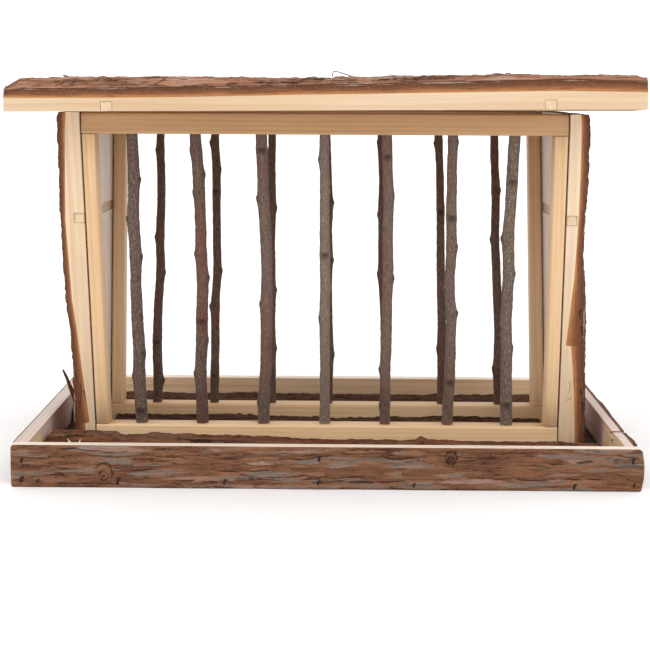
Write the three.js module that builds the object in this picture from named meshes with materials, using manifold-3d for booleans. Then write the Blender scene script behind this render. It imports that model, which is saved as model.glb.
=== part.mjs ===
// Hay rack feeder for small livestock: a shallow tray floored with bark slabs, a V-shaped hay rack of
// pine rails and branch rods standing between two bark end panels, and a bark roof that hinges open
// at the back so that the rack can be filled from above.
//
// Millimetres, +Z up, X along the feeder, +Y towards the hinged back edge of the roof.
// Origin: centre of the tray's underside.

import * as THREE from 'three';
import { mergeVertices } from 'three/addons/utils/BufferGeometryUtils.js';
import Module from 'manifold-3d';

// ---- Driving dimensions ----

const gap = 0.3; // between pieces that touch

const trayLength = 602.4;
const trayDepth = 359;
const trayHeight = 41;
const longBoardThickness = 16.5; // wood and bark together
const sideBoardThickness = 15;
const boardSteps = [10, 2]; // along and across, in a tray board's faces
const sideBoardJointY = -100; // where the right board's two lengths are finger jointed
const fingerLength = 9;
const fingerCount = 5;
const slatCount = 6;
const slatSteps = [12, 4];
const slatGap = 3;
const slatEdgeHeight = 13.8; // what the rack stands on
const slatCrownHeight = 27; // bark left standing where nothing rests on it

const railLength = 474;
const railHeight = 21;
const railDepth = 23;
const bottomRailZ = 14.8;
const topRailZ = 335.8;
const bottomRailFrontY = 62; // distance of the rails' outer faces from the middle plane
const topRailFrontY = 115.4;
const stileWidth = 13.3;
const rackSkew = 3; // how far the top rails stand to the left of the bottom ones

const socketDepth = 10;
const frontBranch = { footRadius: 6.2, headRadius: 5.6 };
const backBranch = { footRadius: 5.1, headRadius: 4.6 };

const panelGap = 1.5; // an open joint shows between each end panel and the rack
const panelLowZ = 14.6;
const panelSteps = [4, 8]; // across and up
const panelWood = 14;
const panelBark = 8.5;
const panelBattenZ = 252;
const panelBattenSize = 10;

const grooveOvershoot = 5; // how far the battens' grooves are cut past the wood

const roofLength = 600;
const roofDepth = 350;
const roofShift = -2.2; // the roof sits a little to the left
const roofSteps = [10, 4];
const roofUndersideZ = 360.3;
const roofWood = 13.7;
const roofBark = 18;
const roofSlabWidths = [78, 64, 66, 60, 82]; // front to back
const roofBattenX = [-206, 208];
const roofBattenWidth = 11;
const roofBattenHeight = 9;

const hingeX = [-150, 150];
const hingeAxisY = 120.8;
const hingeAxisZ = 357.5;
const hingeLength = 40;
const hingeLeafDepth = 26; // from the pin's axis to the leaf's free edge
const leafThickness = 1.2;
const fixedLeafZ = 357.3;
const movingLeafZ = 358.8;
const knuckleRadius = 2.5;
const knuckleBore = 1.3;
const pinRadius = 1;
const screwSpacing = 22;
const screwY = 105;
const screw = { headRadius: 2.4, headDepth: 1.1, shankRadius: 1.3, tipStart: 8, length: 10 };

// The course of each branch: X of its centre line at five equal steps of height, foot first.
const frontBranchCourses = [
  [-191.5, -192.5, -193, -192.5, -192],
  [-128.5, -128.5, -126, -126.5, -129.5],
  [-65, -62, -60.5, -62.5, -65],
  [-2, -2, -2, -3, -3],
  [60.5, 60.5, 60.5, 60.5, 58],
  [124.5, 126, 124, 123, 122],
  [185.5, 183, 181.5, 181.5, 183],
];
const backBranchCourses = [
  [-188, -189, -187, -187, -188.5],
  [-125, -124.5, -124, -125.5, -127],
  [-61.5, -63, -63.5, -64, -64],
  [1, 1, -0.5, -0.5, -3],
  [63, 62.5, 60, 60, 58.5],
  [125.5, 126, 124.5, 124, 122.5],
  [188, 188.5, 186, 185, 184],
];

// ---- Finishes ----

const finishes = {
  pine: { color: 0xe6c79a, roughness: 0.62, metalness: 0 },
  bark: { color: 0x7a5a46, roughness: 0.92, metalness: 0 },
  branch: { color: 0x5d5048, roughness: 0.85, metalness: 0 },
  steel: { color: 0xb4b6b8, roughness: 0.35, metalness: 1 },
};

const feeder = new THREE.Group();

function addPiece(parent, name, geometry, finish) {
  const mesh = new THREE.Mesh(geometry, new THREE.MeshStandardMaterial(finishes[finish]));
  mesh.name = name;
  parent.add(mesh);
  return mesh;
}

// ---- Solids: cuts and joins ----

const wasm = await Module();
wasm.setup();

function toSolid(geometry) {
  const bare = geometry.clone();
  bare.deleteAttribute('normal');
  bare.deleteAttribute('uv');
  const merged = mergeVertices(bare, 1e-4);
  const mesh = new wasm.Mesh({
    numProp: 3,
    vertProperties: new Float32Array(merged.attributes.position.array),
    triVerts: new Uint32Array(merged.index.array),
  });
  return new wasm.Manifold(mesh);
}

function toGeometry(solid) {
  const mesh = solid.getMesh();
  const geometry = new THREE.BufferGeometry();
  geometry.setAttribute('position', new THREE.BufferAttribute(mesh.vertProperties, 3));
  geometry.setIndex(new THREE.BufferAttribute(mesh.triVerts, 1));
  geometry.computeVertexNormals();
  return geometry;
}

function cut(geometry, cutters) {
  let solid = toSolid(geometry);
  for (const cutter of cutters) {
    solid = solid.subtract(toSolid(cutter));
  }
  return toGeometry(solid);
}

function join(geometries) {
  return geometries.map(toSolid).reduce((joined, solid) => joined.add(solid));
}

// ---- Solids: shapes ----

function box(low, high) {
  const size = high.map((value, axis) => value - low[axis]);
  const middle = high.map((value, axis) => (value + low[axis]) / 2);
  return new THREE.BoxGeometry(...size).translate(...middle);
}

// Smooth unevenness between 0 and 1, for a bark face measured in millimetres.
function unevenness(along, across, seed) {
  const broad = Math.sin(along * 0.021 + seed * 1.7 + 0.8 * Math.sin(across * 0.06 + seed));
  const fine = Math.sin(along * 0.053 + across * 0.045 + seed * 2.9);
  return 0.5 + 0.3 * broad + 0.2 * fine;
}

// A board with a flat sawn face and an uneven bark face. sawnPoint(u, v) is the sawn face's point
// for u and v from 0 to 1, outward is the direction of the bark, and thickness(u, v) the local depth.
function barkedBoard(steps, sawnPoint, outward, thickness) {
  const geometry = new THREE.BoxGeometry(1, 1, 1, steps[0], steps[1], 1);
  const position = geometry.attributes.position;
  for (let i = 0; i < position.count; i += 1) {
    const u = position.getX(i) + 0.5;
    const v = position.getY(i) + 0.5;
    const depth = thickness(u, v) * (position.getZ(i) + 0.5);
    const [x, y, z] = sawnPoint(u, v);
    position.setXYZ(i, x + outward[0] * depth, y + outward[1] * depth, z + outward[2] * depth);
  }
  geometry.computeVertexNormals();
  return geometry;
}

// ---- Tray ----

const tray = new THREE.Group();
feeder.add(tray);

// A tray board along local X, from startX to endX, standing on z = 0 with its bark towards -Y.
function trayBoard(startX, endX, innerY, thickness, seed) {
  const relief = 3;
  const sawnPoint = (u, v) => [startX + (endX - startX) * u, innerY, trayHeight * v];
  const depth = (u, v) => thickness - relief * unevenness((endX - startX) * u, trayHeight * v, seed);
  return barkedBoard(boardSteps, sawnPoint, [0, -1, 0], depth);
}

const trayInnerY = trayDepth / 2 - longBoardThickness;
const trayInnerX = trayLength / 2 - sideBoardThickness;
const sideBoardEnd = trayInnerY - gap;

function longBoard(seed) {
  return trayBoard(-trayLength / 2, trayLength / 2, -trayInnerY, longBoardThickness, seed);
}

function sideBoard(seed) {
  return trayBoard(-sideBoardEnd, sideBoardEnd, -trayInnerX, sideBoardThickness, seed);
}

// Everything beyond the finger joint, as a prism whose near side is a column of pointed fingers.
function beyondFingerJoint(jointX) {
  const pitch = trayHeight / fingerCount;
  const outline = new THREE.Shape();
  outline.moveTo(jointX, -pitch);
  for (let i = 0; i < fingerCount + 1; i += 1) {
    outline.lineTo(jointX + fingerLength, (i - 0.5) * pitch);
    outline.lineTo(jointX, i * pitch);
  }
  outline.lineTo(jointX, trayHeight + pitch);
  outline.lineTo(trayLength, trayHeight + pitch);
  outline.lineTo(trayLength, -pitch);
  const prism = new THREE.ExtrudeGeometry(outline, { depth: trayLength, bevelEnabled: false });
  return prism.rotateX(Math.PI / 2);
}

function addTrayBoards() {
  addPiece(tray, 'tray_front_board', longBoard(1), 'bark');
  addPiece(tray, 'tray_back_board', longBoard(2), 'bark').rotation.z = Math.PI;
  addPiece(tray, 'tray_left_board', sideBoard(3), 'bark').rotation.z = -Math.PI / 2;

  const whole = toSolid(sideBoard(4));
  const rear = whole.intersect(toSolid(beyondFingerJoint(sideBoardJointY + gap)));
  const front = whole.subtract(toSolid(beyondFingerJoint(sideBoardJointY)));
  addPiece(tray, 'tray_right_board_front', toGeometry(front), 'bark').rotation.z = Math.PI / 2;
  addPiece(tray, 'tray_right_board_rear', toGeometry(rear), 'bark').rotation.z = Math.PI / 2;
}

// Floor slats run lengthwise, bark up. Their bark is trimmed flat under the rack, which spans from
// one bottom rail's outer face to the other's, and stands up as a crown elsewhere.
function slatHeight(x, y, seed) {
  const innerReach = bottomRailFrontY - railDepth;
  const toRail = Math.max(innerReach - Math.abs(y), Math.abs(y) - bottomRailFrontY);
  const toPanel = railLength / 2 - Math.abs(x);
  const clearance = Math.abs(y) > bottomRailFrontY ? toRail : Math.min(toRail, toPanel);
  const rise = THREE.MathUtils.smoothstep(clearance, 4, 16) * (0.6 + 0.4 * unevenness(x, y, seed));
  return slatEdgeHeight + (slatCrownHeight - slatEdgeHeight) * rise;
}

function addFloorSlats() {
  const start = -trayInnerX + gap;
  const length = 2 * (trayInnerX - gap);
  const pitch = (2 * trayInnerY) / slatCount;
  for (let i = 0; i < slatCount; i += 1) {
    const edge = -trayInnerY + i * pitch + slatGap / 2;
    const width = pitch - slatGap;
    const sawnPoint = (u, v) => [start + length * u, edge + width * v, 0];
    const height = (u, v) => {
      const bark = slatHeight(start + length * u, edge + width * v, i + 5);
      return v === 0 || v === 1 ? Math.min(bark, slatEdgeHeight) - 1.5 : bark;
    };
    addPiece(tray, `floor_slat_${i + 1}`, barkedBoard(slatSteps, sawnPoint, [0, 0, 1], height), 'bark');
  }
}

// ---- Rack ----

const rack = new THREE.Group();
feeder.add(rack);

const footZ = bottomRailZ + railHeight;
const headZ = topRailZ;
const leanPerMm = (topRailFrontY - bottomRailFrontY) / (topRailZ - footZ);
const topOfRack = topRailZ + railHeight;

// Sideways offset of the skewed rack at a height.
function skewAt(z) {
  const lowest = bottomRailZ + railHeight / 2;
  return -rackSkew * (z - lowest) / (topRailZ - bottomRailZ);
}

// Distance of the leaning rack's outer face from the middle plane at a height.
function faceY(z) {
  return bottomRailFrontY + leanPerMm * (z - footZ);
}

function smoothCourse(course, t) {
  const points = course.map((x, i) => new THREE.Vector3(x, i, 0));
  return new THREE.CatmullRomCurve3(points).getPoint(t).x;
}

// Centre of a branch at a height. facing is -1 for the front row and 1 for the back row.
function branchCentre(course, facing, seed, z) {
  const t = THREE.MathUtils.clamp((z - footZ) / (headZ - footZ), 0, 1);
  const sway = 1.5 * Math.sin(Math.PI * t) * Math.sin(7 * t + seed);
  return [smoothCourse(course, t), facing * (faceY(z) - railDepth / 2) + sway];
}

// A branch is turned about the vertical, then bent onto its course. Its ends stand in the sockets.
function branchGeometry(course, facing, seed, size) {
  const low = footZ - socketDepth + gap;
  const high = headZ + socketDepth - gap;
  const steps = 8;
  const profile = [[0, low], [size.footRadius, low]];
  for (let i = 0; i <= steps; i += 1) {
    const t = i / steps;
    const radius = size.footRadius + (size.headRadius - size.footRadius) * t;
    profile.push([radius, footZ + (headZ - footZ) * t]);
  }
  profile.push([size.headRadius, high], [0, high]);
  const points = profile.map(([radius, z]) => new THREE.Vector2(radius, z));
  const geometry = new THREE.LatheGeometry(points, 8).rotateX(Math.PI / 2);
  const position = geometry.attributes.position;
  for (let i = 0; i < position.count; i += 1) {
    const z = position.getZ(i);
    const [x, y] = branchCentre(course, facing, seed, z);
    position.setX(i, position.getX(i) + x);
    position.setY(i, position.getY(i) + y);
  }
  geometry.computeVertexNormals();
  return geometry;
}

// The cutter for a branch's socket: a bore that follows the rack's lean from its mouth at mouthZ.
function socketCutter(centre, facing, mouthZ, into, radius) {
  const overshoot = 5;
  const length = socketDepth + overshoot;
  const bore = new THREE.CylinderGeometry(radius + gap, radius + gap, length, 12);
  bore.rotateX(Math.PI / 2).translate(0, 0, into * (length / 2 - overshoot));
  const position = bore.attributes.position;
  for (let i = 0; i < position.count; i += 1) {
    const z = position.getZ(i);
    const y = position.getY(i) + centre[1] + facing * leanPerMm * z;
    position.setXYZ(i, position.getX(i) + centre[0], y, z + mouthZ);
  }
  return bore;
}

function railBox(facing, lowZ, outerY) {
  const shift = skewAt(lowZ + railHeight / 2);
  const faces = [facing * outerY, facing * (outerY - railDepth)].sort((a, b) => a - b);
  const half = railLength / 2;
  return box([shift - half, faces[0], lowZ], [shift + half, faces[1], lowZ + railHeight]);
}

// A stile fills the lean between the two rails at one end of a row.
function stileGeometry(facing, side) {
  const low = footZ + gap;
  const high = headZ - gap;
  const lowY = facing * faceY(low);
  const highY = facing * faceY(high);
  const outline = new THREE.Shape();
  outline.moveTo(lowY, low);
  outline.lineTo(highY, high);
  outline.lineTo(highY - facing * railDepth, high);
  outline.lineTo(lowY - facing * railDepth, low);
  const geometry = new THREE.ExtrudeGeometry(outline, { depth: stileWidth, bevelEnabled: false });
  geometry.translate(0, 0, -stileWidth / 2).rotateY(Math.PI / 2).rotateX(Math.PI / 2);
  return skewed(geometry.translate((side * (railLength - stileWidth)) / 2, 0, 0));
}

function skewed(geometry) {
  const position = geometry.attributes.position;
  for (let i = 0; i < position.count; i += 1) {
    position.setX(i, position.getX(i) + skewAt(position.getZ(i)));
  }
  geometry.computeVertexNormals();
  return geometry;
}

function addRackRow(row, facing, courses, size) {
  const bottomSockets = [];
  const topSockets = [];
  courses.forEach((course, i) => {
    const seed = i + (facing > 0 ? 20 : 0);
    const foot = branchCentre(course, facing, seed, footZ);
    const head = branchCentre(course, facing, seed, headZ);
    bottomSockets.push(socketCutter(foot, facing, footZ, -1, size.footRadius));
    topSockets.push(socketCutter(head, facing, headZ, 1, size.headRadius));
    addPiece(rack, `${row}_branch_${i + 1}`, branchGeometry(course, facing, seed, size), 'branch');
  });
  const bottomRail = cut(railBox(facing, bottomRailZ, bottomRailFrontY), bottomSockets);
  addPiece(rack, `${row}_bottom_rail`, bottomRail, 'pine');
  const topRail = railBox(facing, topRailZ, topRailFrontY);
  const screwHoles = facing > 0 ? hingeScrewPlaces().map((at) => fixedLeafScrew(at, gap)) : [];
  addPiece(rack, `${row}_top_rail`, cut(topRail, [...topSockets, ...screwHoles]), 'pine');
  addPiece(rack, `${row}_left_stile`, stileGeometry(facing, -1), 'pine');
  addPiece(rack, `${row}_right_stile`, stileGeometry(facing, 1), 'pine');
}

// ---- End panels ----

// One of the two upright slabs of an end panel, bark outwards, from the middle plane to the lean.
function panelSlab(side, facing, seed) {
  const innerX = side * (railLength / 2 + panelGap);
  const height = topOfRack - panelLowZ;
  const sawnPoint = (u, v) => {
    const z = panelLowZ + height * v;
    const across = side * facing > 0 ? u : 1 - u;
    const edge = gap / 2 + (faceY(z) - gap / 2) * across;
    return [innerX + skewAt(z), facing * edge, z];
  };
  const thickness = (u, v) => {
    const atEdge = u === 0 || u === 1 ? 0.85 : 1;
    return panelWood + panelBark * atEdge * (0.7 + 0.3 * unevenness(120 * u, height * v, seed));
  };
  return barkedBoard(panelSteps, sawnPoint, [side, 0, 0], thickness);
}

// The batten lies flush in the panel's inner face. Its groove is the same box with more room.
function panelBattenBox(side, clearance, overshoot) {
  const innerX = side * (railLength / 2 + panelGap) + skewAt(panelBattenZ);
  const reach = faceY(panelBattenZ - panelBattenSize / 2) + overshoot;
  const half = panelBattenSize / 2 + clearance;
  const inset = 0.2;
  const faces = [side * (inset - overshoot), side * (panelBattenSize + clearance)].sort((a, b) => a - b);
  const low = [innerX + faces[0], -reach, panelBattenZ - half];
  return box(low, [innerX + faces[1], reach, panelBattenZ + half]);
}

function addEndPanel(name, side) {
  const groove = panelBattenBox(side, gap, grooveOvershoot);
  for (const [place, facing] of [['front', -1], ['back', 1]]) {
    const slab = cut(panelSlab(side, facing, side * 3 + facing + 9), [groove]);
    addPiece(rack, `${name}_panel_${place}_slab`, slab, 'bark');
  }
  addPiece(rack, `${name}_panel_batten`, panelBattenBox(side, 0, 0), 'pine');
}

// ---- Roof ----

const roof = new THREE.Group();
feeder.add(roof);

// A batten lies flush in the roof's underside. Its groove is the same box with more room.
function roofBattenBox(x, clearance, overshoot) {
  const half = roofBattenWidth / 2 + clearance;
  const reach = roofDepth / 2 + overshoot;
  const top = roofUndersideZ + roofBattenHeight + clearance;
  return box([x - half, -reach, roofUndersideZ - overshoot], [x + half, reach, top]);
}

function roofSlab(frontY, width, seed) {
  const sawnPoint = (u, v) => [roofShift + roofLength * (u - 0.5), frontY + width * v, roofUndersideZ];
  const thickness = (u, v) => {
    const shoulder = v === 0 || v === 1 ? 0.35 : 1;
    return roofWood + roofBark * shoulder * (0.7 + 0.3 * unevenness(roofLength * u, width * v, seed));
  };
  return barkedBoard(roofSteps, sawnPoint, [0, 0, 1], thickness);
}

function addRoof() {
  const grooves = roofBattenX.map((x) => roofBattenBox(x, gap, grooveOvershoot));
  const screwHoles = hingeScrewPlaces().map((at) => movingLeafScrew(at, gap));
  let frontY = -roofDepth / 2;
  roofSlabWidths.forEach((width, i) => {
    const isFirst = i === 0;
    const isLast = i === roofSlabWidths.length - 1;
    const start = frontY + (isFirst ? 0 : gap / 2);
    const end = frontY + width - (isLast ? 0 : gap / 2);
    const cutters = isLast ? [...grooves, ...screwHoles] : grooves;
    addPiece(roof, `roof_slab_${i + 1}`, cut(roofSlab(start, end - start, i + 31), cutters), 'bark');
    frontY += width;
  });
  addPiece(roof, 'roof_batten_left', roofBattenBox(roofBattenX[0], 0, 0), 'pine');
  addPiece(roof, 'roof_batten_right', roofBattenBox(roofBattenX[1], 0, 0), 'pine');
}

// ---- Hinges ----

// Every hinge screw's place, two to a leaf, on the line that both leaves share when folded.
function hingeScrewPlaces() {
  return hingeX.flatMap((x) => [x - screwSpacing / 2, x + screwSpacing / 2]);
}

// A countersunk wood screw with its head up at z = 0. With a clearance it is the cutter for its hole.
function screwGeometry(clearance) {
  const above = clearance > 0 ? 1 : 0;
  const headRadius = screw.headRadius + clearance;
  const shankRadius = screw.shankRadius + clearance;
  const profile = [
    [0, above],
    [headRadius, above],
    [headRadius, above > 0 ? 0 : -0.15],
    [shankRadius, -screw.headDepth],
    [shankRadius, -screw.tipStart],
    [0, -screw.length - clearance],
  ];
  const points = profile.map(([radius, z]) => new THREE.Vector2(radius, z)).reverse();
  return new THREE.LatheGeometry(points, 10).rotateX(Math.PI / 2);
}

function fixedLeafScrew(x, clearance) {
  return screwGeometry(clearance).translate(x, screwY, fixedLeafZ + leafThickness);
}

function movingLeafScrew(x, clearance) {
  return screwGeometry(clearance).rotateX(Math.PI).translate(x, screwY, movingLeafZ);
}

function barrel(centreX, length, radius) {
  const cylinder = new THREE.CylinderGeometry(radius, radius, length, 16);
  return cylinder.rotateZ(Math.PI / 2).translate(centreX, hingeAxisY, hingeAxisZ);
}

// A leaf is a plate that runs into its own knuckles and stops short of the other leaf's.
function leafGeometry(centreX, lowZ, knuckles, screwHoles) {
  const shortEdgeY = hingeAxisY - knuckleRadius - 2 * gap;
  const freeEdgeY = hingeAxisY - hingeLeafDepth;
  const half = hingeLength / 2;
  const highZ = lowZ + leafThickness;
  const pieces = [box([centreX - half, freeEdgeY, lowZ], [centreX + half, shortEdgeY, highZ])];
  for (const [start, end] of knuckles) {
    const tongue = box([centreX + start, shortEdgeY - 1, lowZ], [centreX + end, hingeAxisY, highZ]);
    pieces.push(tongue, barrel(centreX + (start + end) / 2, end - start, knuckleRadius));
  }
  const bore = barrel(centreX, hingeLength + 10, knuckleBore);
  const cutters = [bore, ...screwHoles];
  return toGeometry(cutters.reduce((solid, cutter) => solid.subtract(toSolid(cutter)), join(pieces)));
}

// The pin, headed at its right end, lies loose in the knuckles.
function pinGeometry(centreX) {
  const reach = hingeLength / 2 + gap;
  const headRadius = 2;
  const headLength = 1;
  const profile = [[0, -reach], [pinRadius, -reach], [pinRadius, reach], [headRadius, reach],
    [headRadius, reach + headLength], [0, reach + headLength]];
  const points = profile.map(([radius, along]) => new THREE.Vector2(radius, along));
  const geometry = new THREE.LatheGeometry(points, 12);
  return geometry.rotateZ(-Math.PI / 2).translate(centreX, hingeAxisY, hingeAxisZ);
}

function addHinge(name, centreX) {
  const half = hingeLength / 2;
  const knuckleEnd = hingeLength / 6;
  const places = [centreX - screwSpacing / 2, centreX + screwSpacing / 2];
  const outer = [[-half, -knuckleEnd - gap], [knuckleEnd + gap, half]];
  const inner = [[-knuckleEnd, knuckleEnd]];
  const fixedHoles = places.map((x) => fixedLeafScrew(x, gap));
  const movingHoles = places.map((x) => movingLeafScrew(x, gap));
  const fixedLeaf = leafGeometry(centreX, fixedLeafZ, outer, fixedHoles);
  const movingLeaf = leafGeometry(centreX, movingLeafZ, inner, movingHoles);
  addPiece(rack, `${name}_hinge_fixed_leaf`, fixedLeaf, 'steel');
  addPiece(roof, `${name}_hinge_moving_leaf`, movingLeaf, 'steel');
  addPiece(rack, `${name}_hinge_pin`, pinGeometry(centreX), 'steel');
  places.forEach((x, i) => {
    addPiece(rack, `${name}_hinge_rail_screw_${i + 1}`, fixedLeafScrew(x, 0), 'steel');
    addPiece(roof, `${name}_hinge_roof_screw_${i + 1}`, movingLeafScrew(x, 0), 'steel');
  });
}

// ---- Assembly ----

addTrayBoards();
addFloorSlats();
addRackRow('front', -1, frontBranchCourses, frontBranch);
addRackRow('back', 1, backBranchCourses, backBranch);
addEndPanel('left', -1);
addEndPanel('right', 1);
addRoof();
addHinge('left', hingeX[0]);
addHinge('right', hingeX[1]);

export default feeder;
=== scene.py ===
import math

import bpy
import numpy as np
from mathutils import Matrix, Vector


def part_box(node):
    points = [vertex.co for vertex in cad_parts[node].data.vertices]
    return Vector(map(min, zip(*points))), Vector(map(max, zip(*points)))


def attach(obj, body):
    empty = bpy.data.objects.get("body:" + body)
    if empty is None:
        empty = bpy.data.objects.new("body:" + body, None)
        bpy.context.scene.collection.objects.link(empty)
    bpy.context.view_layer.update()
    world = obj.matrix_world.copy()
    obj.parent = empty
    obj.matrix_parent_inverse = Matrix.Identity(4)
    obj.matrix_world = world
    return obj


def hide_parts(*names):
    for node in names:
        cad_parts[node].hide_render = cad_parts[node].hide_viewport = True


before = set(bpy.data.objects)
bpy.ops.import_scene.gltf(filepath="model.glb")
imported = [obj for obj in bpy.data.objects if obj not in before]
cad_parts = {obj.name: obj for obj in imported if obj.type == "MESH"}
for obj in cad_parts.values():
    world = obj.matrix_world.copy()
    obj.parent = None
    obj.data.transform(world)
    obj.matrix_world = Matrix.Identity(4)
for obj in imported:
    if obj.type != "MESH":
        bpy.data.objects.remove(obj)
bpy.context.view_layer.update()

MM = 0.001  # lengths below are in millimetres until a mesh is made


# ---- Small helpers ----

def rgb(code):
    """A linear colour from a display colour's code."""
    return (*[(c / 255) ** 2.2 for c in code.to_bytes(3, "big")], 1.0)


def ramp(value, start, end):
    """0 at start, 1 at end, smooth between."""
    t = np.clip((value - start) / (end - start), 0, 1)
    return t * t * (3 - 2 * t)


def box_mm(node):
    low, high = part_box(node)
    return np.array(low) / MM, np.array(high) / MM


def middle_and_half(node):
    """The middle of a node's box and half its size."""
    low, high = box_mm(node)
    return (low + high) / 2, (high - low) / 2


def point(x, y, z):
    return np.stack(np.broadcast_arrays(x, y, z), -1).astype(float)


def catmull(values, t):
    """Smooth interpolation of evenly spaced values at t from 0 to 1."""
    values = np.asarray(values, float)
    last = len(values) - 1
    x = np.clip(t, 0, 1) * last
    i = np.minimum(np.floor(x).astype(int), last - 1)
    f = x - i
    a, b = values[np.maximum(i - 1, 0)], values[i]
    c, d = values[i + 1], values[np.minimum(i + 2, last)]
    return b + 0.5 * f * (c - a + f * (2 * a - 5 * b + 4 * c - d + f * (3 * (b - c) + d - a)))


# ---- Noise ----

def hash01(ix, iy, seed):
    n = (ix.astype(np.int64) * 374761393 + iy.astype(np.int64) * 668265263 + seed * 974711) & 0xFFFFFFFF
    n = ((n ^ (n >> 13)) * 1274126177) & 0xFFFFFFFF
    return ((n ^ (n >> 16)) & 0xFFFF) / 65535.0


def noise(x, y, seed, wrap=None):
    """Smooth values from 0 to 1. With wrap, they repeat after that many whole steps of x."""
    x, y = np.broadcast_arrays(np.asarray(x, float), np.asarray(y, float))
    ix, iy = np.floor(x), np.floor(y)
    fx, fy = x - ix, y - iy
    ux, uy = fx * fx * (3 - 2 * fx), fy * fy * (3 - 2 * fy)
    near, far = (np.mod(ix, wrap), np.mod(ix + 1, wrap)) if wrap else (ix, ix + 1)
    low = hash01(near, iy, seed) * (1 - ux) + hash01(far, iy, seed) * ux
    high = hash01(near, iy + 1, seed) * (1 - ux) + hash01(far, iy + 1, seed) * ux
    return low * (1 - uy) + high * uy


def fractal(x, y, seed, octaves=4, wrap=None):
    x, y = np.asarray(x, float), np.asarray(y, float)
    total, weight = 0, 0
    for octave in range(octaves):
        size, scale = 0.5 ** octave, 2 ** octave
        total = total + size * noise(x * scale, y * scale, seed + 31 * octave, wrap and wrap * scale)
        weight += size
    return total / weight


# ---- Node materials ----

class Finish:
    """A material built node by node around one Principled shader."""

    def __init__(self, name, roughness, specular=0.5):
        self.material = bpy.data.materials.new(name)
        self.material.use_nodes = True
        self.tree = self.material.node_tree
        self.tree.nodes.clear()
        inputs = {"Roughness": roughness, "Specular IOR Level": specular}
        self.shader = self.node("ShaderNodeBsdfPrincipled", inputs)
        self.node("ShaderNodeOutputMaterial", {"Surface": self.shader.outputs[0]})

    def node(self, kind, inputs=None, **settings):
        """A new node. Each of its inputs is a number, a colour or another node's output."""
        made = self.tree.nodes.new(kind)
        for key, value in settings.items():
            setattr(made, key, value)
        for key, value in (inputs or {}).items():
            self.feed(made.inputs[key], value)
        return made

    def feed(self, target, value):
        if isinstance(value, bpy.types.NodeSocket):
            self.tree.links.new(value, target)
        else:
            target.default_value = value

    def attribute(self, name):
        found = self.node("ShaderNodeAttribute", attribute_name=name)
        return found.outputs["Vector"] if name == "grain" else found.outputs["Fac"]

    def stretched(self, vector, scale):
        return self.node("ShaderNodeMapping", {"Scale": scale, "Vector": vector}).outputs[0]

    def noise(self, vector, scale, detail, roughness, distortion=0.0):
        """Noise at one scale, or at three different ones along the axes."""
        if isinstance(scale, tuple):
            vector, scale = self.stretched(vector, scale), 1.0
        inputs = {"Vector": vector, "Scale": scale, "Detail": detail, "Roughness": roughness,
                  "Distortion": distortion}
        return self.node("ShaderNodeTexNoise", inputs).outputs["Fac"]

    def colours(self, value, stops):
        made = self.node("ShaderNodeValToRGB", {"Fac": value})
        elements = made.color_ramp.elements
        while len(elements) < len(stops):
            elements.new(0.5)
        for element, (place, colour) in zip(elements, stops):
            element.position = place
            element.color = colour
        return made.outputs["Color"]

    def levels(self, value, start, end, low=0.0, high=1.0):
        inputs = {"Value": value, "From Min": start, "From Max": end, "To Min": low, "To Max": high}
        return self.node("ShaderNodeMapRange", inputs).outputs["Result"]

    def mix(self, factor, first, second):
        return self.node("ShaderNodeMix", {0: factor, 6: first, 7: second}, data_type="RGBA").outputs[2]

    def tint(self, colour, other, value, start, end, share=1.0):
        """The colour with a share of another, the more the further the value is from start to end."""
        return self.mix(self.levels(value, start, end, 0.0, share), colour, other)

    def math(self, operation, first, second=0.0):
        return self.node("ShaderNodeMath", {0: first, 1: second}, operation=operation).outputs[0]

    def plus(self, first, second):
        return self.math("ADD", first, second)

    def times(self, first, second):
        return self.math("MULTIPLY", first, second)

    def paint(self, colour):
        self.feed(self.shader.inputs["Base Color"], colour)

    def rough(self, value, low, high):
        self.feed(self.shader.inputs["Roughness"], self.levels(value, 0.3, 0.7, low, high))

    def bump(self, height, distance, strength):
        inputs = {"Height": height, "Distance": distance, "Strength": strength}
        self.feed(self.shader.inputs["Normal"], self.node("ShaderNodeBump", inputs).outputs[0])


def darker(colour, share):
    return (*[c * share for c in colour[:3]], 1.0)


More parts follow.
